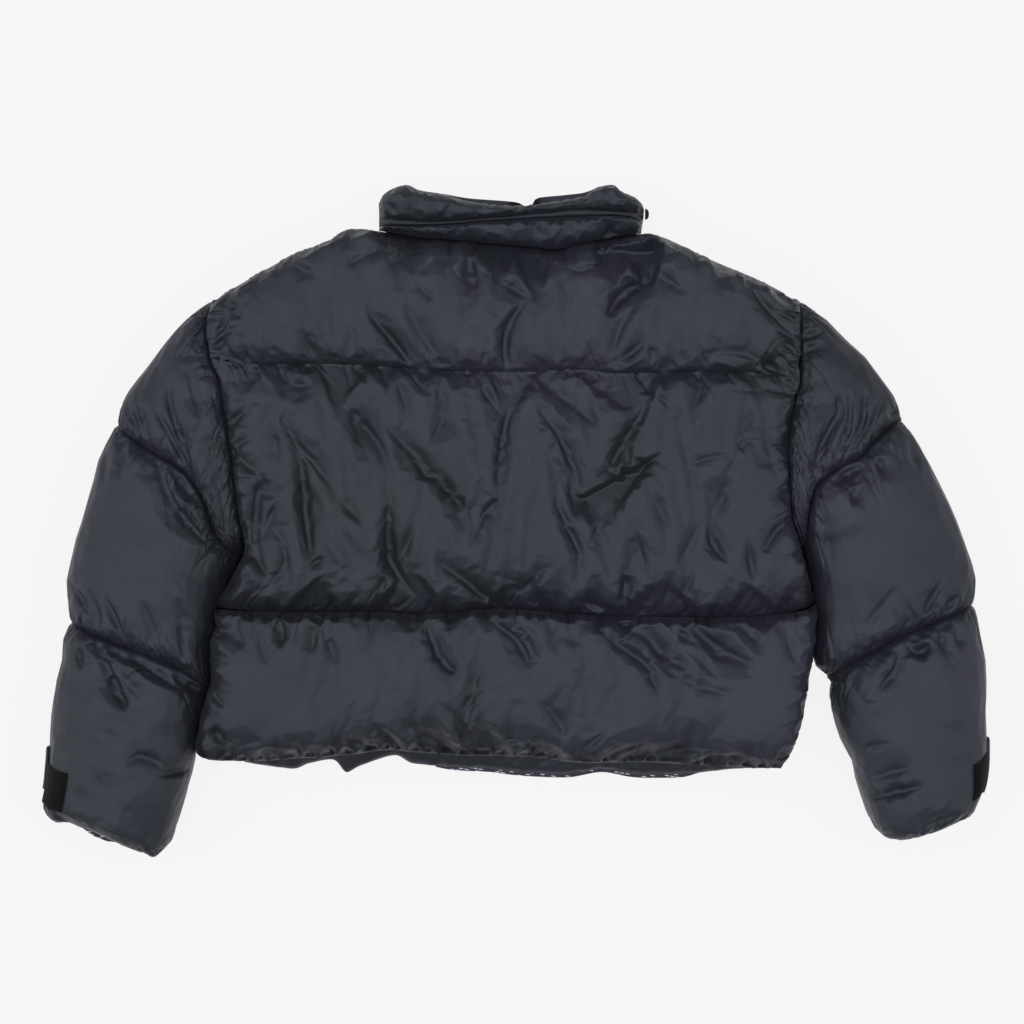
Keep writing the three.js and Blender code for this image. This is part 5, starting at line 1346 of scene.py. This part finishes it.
# the welt along the collar
def welt():
    south, north = COLLAR_LINE, COLLAR_STITCH
    nx = count(292, 2.6)
    xy, ss, tt, wide, tall = plan(south, north, *ends(south, north), nx, 5, gap=(0.15,) * 4)
    level = np.maximum(level_at(ss, tt, wide, tall, (None, None, C_LOW, C_LOW), 59.5, 22), C_LOW)
    z = level + 1.6 + 1.1 * np.sin(np.pi * tt) + 0.5 * noise2(xy[..., 0], xy[..., 1], 26, 401)
    z -= 1.2 * np.exp(-(tt * tall / 1.1) ** 2)
    top = np.dstack([xy, z])
    obj = sheet_mesh("collar_welt_cloth", top, 1.4)
    dress(obj, "shell")
    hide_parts("collar_zip_welt")
    edge = [(p[0], p[1], p[2] + 0.05) for p in top[3, 3:-3]]
    stitches("collar_topstitch", [(edge, (0, 0, 1))])


welt()


# facing and lining that show past the back hem
def hem_pieces():
    lin0, lin1, show = -89.0, 202.0, 4.0
    north = [(x, y + 2.4) for x, y in between(HEM, -300, 283)]
    south = [(min(max(x, -300), 283), y + (show if lin0 < x < lin1 else 0)) for x, y in FACING]
    nx = count(583, 3.0)
    xy, ss, tt, wide, tall = plan(south, north, *ends(south, north), nx, 8, gap=(0,) * 4)
    x, y = xy[..., 0], xy[..., 1]
    z = 26 + 13 * np.sqrt(np.clip(tt, 0, 1)) + 1.0
    roll = 1.3 * noise1(x, 34, 411) * (1 - tt) + 0.8 * noise2(x, y, 15, 412) * np.minimum(1, 4 * tt * (1 - tt) + 0.3)
    for cx, cy0, lean in ((-292, 1.0, 0.3), (-262, 1.4, -0.5), (-232, 1.2, 0.4), (-181, 2.0, 0.2), (-160, 1.5, -0.4), (112, 1.0, 0.5), (150, 1.2, -0.4), (196, 1.4, 0.3), (228, 1.1, -0.2)):
        roll -= 1.6 * cy0 * np.exp(-np.abs(x - cx - lean * (tt - 0.5) * 14) / 4.0)
    z = np.minimum(z + roll, 41.5)
    top = np.dstack([xy, z])
    obj = sheet_mesh("hem_facing_cloth", top, 1.3)
    dress(obj, "shell")
    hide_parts("hem_facing")
    line = [(p[0], p[1], p[2] + 0.1) for p in (0.45 * top[2] + 0.55 * top[3])[4:-4]]
    stitches("hem_topstitch", [(line, (0, 0, 1))], long=3.0, gap=1.4)
    edge = between(FACING, lin0, lin1)
    upper = [(a, b + show + 1.6) for a, b in edge]
    xy, ss, tt, wide, tall = plan(edge, upper, *ends(edge, upper), count(291, 3.0), 4, gap=(0,) * 4)
    z = 23.6 + 1.0 * tt + 0.5 * noise2(xy[..., 0], xy[..., 1], 20, 413)
    top = np.dstack([xy, z])
    obj = sheet_mesh("hem_lining_cloth", top, 1.0)
    dress(obj, "lining")
    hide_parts("hem_lining")


hem_pieces()


# lining in the mouth of the left cuff
def cuff_lining():
    cuff = SLEEVES["left"]["cuff"]
    xs = np.linspace(-497, -424, 30)
    lower = np.interp(xs, [-497, -490, -477, -466, -451, -437, -424], [-333, -336, -342, -350, -356, -357, -356])
    upper = np.interp(xs, [r[0] for r in cuff], [r[1] for r in cuff]) + 5.0
    lower = np.minimum(lower, upper - 1.5)
    tt = np.linspace(0, 1, 7)[:, None]
    x = np.broadcast_to(xs, (7, 30))
    y = lower * (1 - tt) + upper * tt
    z = 38.2 + 5.0 * tt * np.sin(np.pi * np.linspace(0, 1, 30)) ** 0.5 + 0.4 * noise2(x, y, 22, 421)
    top = np.dstack([x, y, z])
    obj = sheet_mesh("cuff_lining_cloth", top, 0.9)
    dress(obj, "lining")
    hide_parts("cuff_lining_left")


cuff_lining()


# hook-and-loop patches and tabs, laid on the cuffs' own surface
def on_sleeve(side, a0, a1, b0, b1, lift, nu, nv):
    face = sleeves[side, 2].face
    rows, n = face.shape[:2]
    ang = sleeve_angles[side, 2]
    k = n / len(ang)
    ext = np.r_[ang - 2 * np.pi, ang, ang + 2 * np.pi]
    col = np.interp(np.linspace(a0, a1, nu + 1), ext, (np.arange(3 * len(ang)) - len(ang)) * k)
    row = np.linspace(b0, b1, nv + 1) * (rows - 1)
    col, row = np.meshgrid(col, row)
    def take(cc, rr):
        i, j = np.floor(cc).astype(int), np.clip(np.floor(rr).astype(int), 0, rows - 2)
        u, v = (cc - i)[..., None], (rr - j)[..., None]
        f = lambda jj, ii: face[jj, ii % n]
        return (1 - u) * (1 - v) * f(j, i) + u * (1 - v) * f(j, i + 1) + (1 - u) * v * f(j + 1, i) + u * v * f(j + 1, i + 1)
    p = take(col, row)
    for _ in range(6):
        q = p.copy()
        q[1:-1] = (p[:-2] + 2 * p[1:-1] + p[2:]) / 4
        r = q.copy()
        r[:, 1:-1] = (q[:, :-2] + 2 * q[:, 1:-1] + q[:, 2:]) / 4
        p = r
    nrm = np.cross(take(col + 3, row) - take(col - 3, row), take(col, np.clip(row + 3, 0, rows - 1)) - take(col, np.clip(row - 3, 0, rows - 1)))
    nrm *= sleeves[side, 2].out / (np.linalg.norm(nrm, axis=2)[..., None] + 1e-9)
    for _ in range(4):
        nrm[1:-1, 1:-1] = (nrm[:-2, 1:-1] + nrm[2:, 1:-1] + nrm[1:-1, :-2] + nrm[1:-1, 2:] + nrm[1:-1, 1:-1]) / 5
    nrm /= np.linalg.norm(nrm, axis=2)[..., None]
    return p + nrm * lift, nrm


def layer_mesh(name, top, nrm, thick):
    low = top - nrm * thick
    rows, cols = top.shape[:2]
    k = rows * cols
    idx = np.arange(k).reshape(rows, cols)
    faces = np.stack([idx[:-1, :-1], idx[:-1, 1:], idx[1:, 1:], idx[1:, :-1]], -1).reshape(-1, 4).tolist()
    faces += [[f[3] + k, f[2] + k, f[1] + k, f[0] + k] for f in faces]
    rim = [int(v) for v in rim_of(rows, cols)]
    for p, q in zip(rim, rim[1:] + rim[:1]):
        faces.append([p, p + k, q + k, q])
    verts = np.vstack([top.reshape(-1, 3), low.reshape(-1, 3)])
    if signed_volume(verts, faces) < 0:
        faces = [f[::-1] for f in faces]
    return make_object(name, verts, faces, [rim, [v + k for v in rim]])


TURN = 2 * np.pi / 20
row_of = lambda b: (1 - math.cos(math.pi * b / 6)) / 2
for side, patch, tab in (("left", (0.75, 2.85, 3.9, 4.95), (-2.0, 0.35, 3.6, 4.6)), ("right", (0.85, 2.6, 3.85, 4.7), (-2.0, 0.4, 3.6, 4.9))):
    a0, a1, b0, b1 = patch
    top, nrm = on_sleeve(side, a0 * TURN, a1 * TURN, row_of(b0), row_of(b1), 2.5, 20, 26)
    u = np.linspace(0, 1, 21)[None, :, None]
    v = np.linspace(0, 1, 27)[:, None, None]
    rim = np.minimum(np.minimum(u, 1 - u) * 28, np.minimum(v, 1 - v) * 42)
    fuzz = np.random.default_rng(431).normal(0, 0.16, top.shape[:2])[..., None]
    top = top + nrm * (-0.7 * np.exp(-rim / 0.9) + fuzz * np.clip(rim / 3, 0, 1) - 0.35 * np.exp(-((rim - 2.4) / 0.7) ** 2))
    obj = layer_mesh(f"cuff_loop_patch_{side}_cloth", top, nrm, 1.9)
    dress(obj, "hook_and_loop")
    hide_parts(f"cuff_loop_patch_{side}")
    a0, a1, b0, b1 = tab
    top, nrm = on_sleeve(side, a0 * TURN, a1 * TURN, row_of(b0), row_of(b1), 4.6, 22, 22)
    u = np.linspace(0, 1, 23)[None, :, None]
    v = np.linspace(0, 1, 23)[:, None, None]
    swell_ = np.minimum(np.minimum(u, 1 - u) * 42, np.minimum(v, 1 - v) * 42)
    top = top + nrm * (-1.1 * np.exp(-swell_ / 1.6) - 0.35 * np.exp(-((swell_ - 4.2) / 0.9) ** 2))
    obj = layer_mesh(f"cuff_tab_{side}_cloth", top, nrm, 2.3)
    dress(obj, "shell")
    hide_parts(f"cuff_tab_{side}")
    m = 2
    loop = [(i, m) for i in range(m, 23 - m)], [(23 - 1 - m, j) for j in range(m, 23 - m)], [(i, 23 - 1 - m) for i in range(m, 23 - m)]
    paths = [([top[j, i] for j, i in part], np.array([nrm[j, i] for j, i in part])) for part in loop]
    stitches(f"cuff_tab_{side}_stitch", paths, long=2.4, gap=1.1)


# folded tape end at the right of the collar seam
def tape_end():
    x0, y0, y1, reach, z1, z0 = 142.2, 329.0, 341.0, 4.2, 44.0, 39.0
    pts = []
    prof = [(0, 0.0), (0.55, 0.06), (0.9, 0.22), (1.0, 0.5), (0.9, 0.78), (0.55, 0.94), (0, 1.0)]
    for z, k in ((z0, 0.93), (z0 + 0.5, 1.0), ((z0 + z1) / 2, 1.0), (z1 - 0.5, 1.0), (z1, 0.93)):
        for fx, fy in prof:
            pts.append((x0 + reach * fx * k, y0 + (y1 - y0) * (0.5 + (fy - 0.5) * k), z))
    m = len(prof)
    faces = []
    for r in range(4):
        for q in range(m - 1):
            faces.append([r * m + q, r * m + q + 1, (r + 1) * m + q + 1, (r + 1) * m + q])
        faces.append([r * m + m - 1, r * m, (r + 1) * m, (r + 1) * m + m - 1])
    faces.append(list(range(m))[::-1])
    faces.append([4 * m + q for q in range(m)])
    if signed_volume(np.array(pts), faces) < 0:
        faces = [f[::-1] for f in faces]
    obj = make_object("collar_tape_end_cloth", pts, faces)
    dress(obj, "zip_tape")
    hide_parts("collar_tape_end")


tape_end()


# ------------------------------------------------------------------ centre front zip
def boxes(list_of):
    verts, faces = [], []
    for x0, x1, y0, y1, z0, z1, ch in list_of:
        b = len(verts)
        for z, c in ((z0, ch), (z1, ch)):
            verts += [(x0 + c, y0, z), (x1 - c, y0, z), (x1, y0 + c, z), (x1, y1 - c, z), (x1 - c, y1, z), (x0 + c, y1, z), (x0, y1 - c, z), (x0, y0 + c, z)]
        faces.append([b + i for i in range(8)][::-1])
        faces.append([b + 8 + i for i in range(8)])
        for i in range(8):
            j = (i + 1) % 8
            faces.append([b + i, b + j, b + 8 + j, b + 8 + i])
    return verts, faces


def zip_run():
    z = 6.4
    for side, s in (("left", -1), ("right", 1)):
        xs = ZIP_X + s * np.linspace(2.9, 9.0, 5)
        ys = np.linspace(-262, 343, 122)
        X, Y = np.meshgrid(xs, ys)
        Z = np.full_like(X, z + 0.4) + 0.12 * noise2(X, Y, 30, 441)
        top = np.dstack([X, Y, Z])
        obj = sheet_mesh(f"zip_tape_{side}_cloth", top, 0.8)
        dress(obj, "zip_tape")
        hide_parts(f"zip_tape_{side}")
    bits, y, n = [], -262.0, 0
    end = 322 - 5.5 - 0.4
    bits.append((ZIP_X - 0.7, ZIP_X + 0.7, -262, end, z - 0.7, z + 0.7, 0.15))
    while y + 1.5 < end:
        s = -1 if n % 2 else 1
        x0, x1 = sorted((ZIP_X - 0.9 * s, ZIP_X + 2.5 * s))
        bits.append((x0, x1, y, y + 1.35, z - 1.2, z + 1.2, 0.25))
        y += 1.62
        n += 1
    v, f = boxes(bits)
    if signed_volume(np.array(v), f) < 0:
        f = [q[::-1] for q in f]
    obj = make_object("zip_teeth_run", v, f, smooth=False)
    dress(obj, "zip_teeth")
    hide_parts("zip_chain")


zip_run()
for node, name, body in (("zip_slider", "zip_slider_metal", "jacket"), ("zip_pull", "zip_pull_metal", "zip_pull_tab")):
    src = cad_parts[node]
    mesh = src.data.copy()
    mesh.name = name
    mesh.materials.clear()
    obj = bpy.data.objects.new(name, mesh)
    obj.matrix_world = src.matrix_world.copy()
    bpy.context.scene.collection.objects.link(obj)
    mod = obj.modifiers.new("edges", "BEVEL")
    mod.width, mod.segments, mod.limit_method, mod.angle_limit = 0.00022, 2, "ANGLE", 0.6
    dress(obj, "zip_metal", body)
    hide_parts(node)

# ------------------------------------------------------------------ stage, light and camera
def stage_floor():
    mesh = bpy.data.meshes.new("floor")
    s = 6.0
    mesh.from_pydata([(-s, -s, -0.0005), (s, -s, -0.0005), (s, s, -0.0005), (-s, s, -0.0005)], [], [(0, 1, 2, 3)])
    obj = bpy.data.objects.new("floor", mesh)
    bpy.context.scene.collection.objects.link(obj)
    mat = bpy.data.materials.new("floor_paper")
    nt, b = node_group(mat)
    # an evenly lit table: nearly all of its tone is its own, with a trace of shadow
    b.inputs["Base Color"].default_value = (0.06, 0.06, 0.06, 1)
    put(b, "Roughness", 1.0)
    put(b, "Specular IOR Level", 0.0)
    put(b, "Emission Color", (1.0, 1.0, 1.0, 1.0))
    put(b, "Emission Strength", 0.86)
    mesh.materials.append(mat)
    # painted shade: a dark sheet that does not glow, laid over the glowing table where the jacket covers it, stands in
    # for the jacket's shadow so gaps between the pieces show dark
    mat = bpy.data.materials.new("floor_shade")
    nt, b = node_group(mat)
    b.inputs["Base Color"].default_value = (0.10, 0.10, 0.10, 1)
    put(b, "Roughness", 1.0)
    put(b, "Specular IOR Level", 0.0)
    body = [*HEM, *SIDE_R[::-1][:-1], *ARM_R[::-1], *SHOULDERS[::-1], *ARM_L, *SIDE_L[1:]]
    # more strips of that painted-shade sheet where a sleeve lies against the body's side, and under the collar
    near = []
    for side, y0, y1 in ((SIDE_L, -250, -30), (SIDE_R, -131, -26)):
        ys = np.arange(y0, y1 + 1, 4.0)
        xs = np.interp(ys, [v[1] for v in side[::-1]], [v[0] for v in side[::-1]])
        near.append(list(zip(xs - 14, ys)) + list(zip(xs + 14, ys))[::-1])
    near.append([(x, 296) for x in range(-138, 129, 6)] + [(x, 336) for x in range(-138, 129, 6)][::-1])
    for n, rim_ in enumerate(near):
        k = len(rim_) // 2
        mesh = bpy.data.meshes.new(f"floor_shade_strip_{n}")
        mesh.from_pydata([((x + OFF[0]) / 1000, (y + OFF[1]) / 1000, -0.00028) for x, y in rim_], [], [(i, 2 * k - 1 - i, 2 * k - 2 - i, i + 1) for i in range(k - 1)])
        mesh.materials.append(mat)
        obj = bpy.data.objects.new(f"floor_shade_strip_{n}", mesh)
        bpy.context.scene.collection.objects.link(obj)
    for n, outline in enumerate([body] + [[*[v for k in range(3) for v in SLEEVES[s]["outer"][k]], *SLEEVES[s]["cuff"], *[v for k in (2, 1, 0) for v in SLEEVES[s]["inner"][k][::-1]]] for s in ("left", "right")]):
        o = np.array(outline, float)
        span = []
        for x0 in np.arange(o[:, 0].min() + 9, o[:, 0].max() - 8, 6.0):
            cuts = []
            for (xa, ya), (xb, yb) in zip(o, np.roll(o, -1, 0)):
                if (xa - x0) * (xb - x0) < 0:
                    cuts.append(ya + (x0 - xa) / (xb - xa) * (yb - ya))
            if len(cuts) > 1 and max(cuts) - min(cuts) > 26:
                span.append((x0, min(cuts) + 11, max(cuts) - 11))
        verts = [(x + OFF[0], y + OFF[1], -0.2 - 0.02 * n) for x, lo, hi in span for y in (lo, hi)]
        mesh = bpy.data.meshes.new(f"floor_shade_{n}")
        mesh.from_pydata([(x / 1000, y / 1000, z / 1000) for x, y, z in verts], [], [(2 * i, 2 * i + 2, 2 * i + 3, 2 * i + 1) for i in range(len(span) - 1)])
        mesh.materials.append(mat)
        obj = bpy.data.objects.new(f"floor_shade_{n}", mesh)
        bpy.context.scene.collection.objects.link(obj)


stage_floor()

world = bpy.data.worlds.new("studio")
bpy.context.scene.world = world
world.use_nodes = True
nt = world.node_tree
for n in list(nt.nodes):
    nt.nodes.remove(n)
wout = nt.nodes.new("ShaderNodeOutputWorld")
bg = nt.nodes.new("ShaderNodeBackground")
geo = nt.nodes.new("ShaderNodeTexCoord")
sep = nt.nodes.new("ShaderNodeSeparateXYZ")
nt.links.new(geo.outputs["Generated"], sep.inputs[0])
squares = []
for axis, k, off in (("X", 0.18, 0.14), ("Y", 1.0, 0.0)):
    add = nt.nodes.new("ShaderNodeMath"); add.operation = "ADD"; add.inputs[1].default_value = off
    nt.links.new(sep.outputs[axis], add.inputs[0])
    m = nt.nodes.new("ShaderNodeMath"); m.operation = "MULTIPLY"
    nt.links.new(add.outputs[0], m.inputs[0]); nt.links.new(add.outputs[0], m.inputs[1])
    m2 = nt.nodes.new("ShaderNodeMath"); m2.operation = "MULTIPLY"; m2.inputs[1].default_value = k
    nt.links.new(m.outputs[0], m2.inputs[0])
    squares.append(m2)
both = nt.nodes.new("ShaderNodeMath"); both.operation = "ADD"
nt.links.new(squares[0].outputs[0], both.inputs[0]); nt.links.new(squares[1].outputs[0], both.inputs[1])
across = nt.nodes.new("ShaderNodeMath"); across.operation = "SQRT"
nt.links.new(both.outputs[0], across.inputs[0])
# one long bank of light from side to side, dim towards the hem and the collar
rampn = nt.nodes.new("ShaderNodeValToRGB")
rampn.color_ramp.interpolation = "EASE"
e = rampn.color_ramp.elements
e[0].position, e[0].color = 0.20, (1.0, 1.0, 1.0, 1)
e[1].position, e[1].color = 0.95, (0.12, 0.12, 0.12, 1)
for pos, v in ((0.42, 0.72), (0.62, 0.24)):
    el = e.new(pos); el.color = (v, v, v, 1)
nt.links.new(across.outputs[0], rampn.inputs["Fac"])
nt.links.new(rampn.outputs["Color"], bg.inputs["Color"])
bg.inputs["Strength"].default_value = 1.98
nt.links.new(bg.outputs[0], wout.inputs[0])


def area(name, loc, target, size, size_y, power, color=(1, 1, 1)):
    light = bpy.data.lights.new(name, "AREA")
    light.shape, light.size, light.size_y = "RECTANGLE", size, size_y
    light.energy, light.color = power, color
    obj = bpy.data.objects.new(name, light)
    obj.location = loc
    from mathutils import Vector
    obj.rotation_euler = (Vector(target) - Vector(loc)).to_track_quat("-Z", "Y").to_euler()
    bpy.context.scene.collection.objects.link(obj)
    return obj


area("overhead", (-0.3, 0.5, 3.3), (0, 0.05, 0), 2.2, 1.2, 4.0)
# a little more light over each sleeve
area("left_fill", (-0.82, -0.02, 2.1), (-0.45, -0.02, 0), 0.5, 0.9, 0.42)
area("right_fill", (0.82, -0.02, 2.1), (0.45, -0.02, 0), 0.5, 0.9, 0.22)

CAM_X, CAM_Y, CAM_D = -0.0039, 0.0082, 2.8
cam_data = bpy.data.cameras.new("camera")
cam_data.type = "PERSP"
cam_data.sensor_width = 36.0
cam_data.lens = 36.0 * CAM_D / 1.1264
cam = bpy.data.objects.new("camera", cam_data)
cam.location = (CAM_X, CAM_Y, 0.045 + CAM_D)
cam.rotation_euler = (0, 0, 0)
bpy.context.scene.collection.objects.link(cam)
bpy.context.scene.camera = cam
scene = bpy.context.scene
scene.view_settings.view_transform = "Standard"
scene.view_settings.look = "None"
scene.view_settings.exposure = 0.0
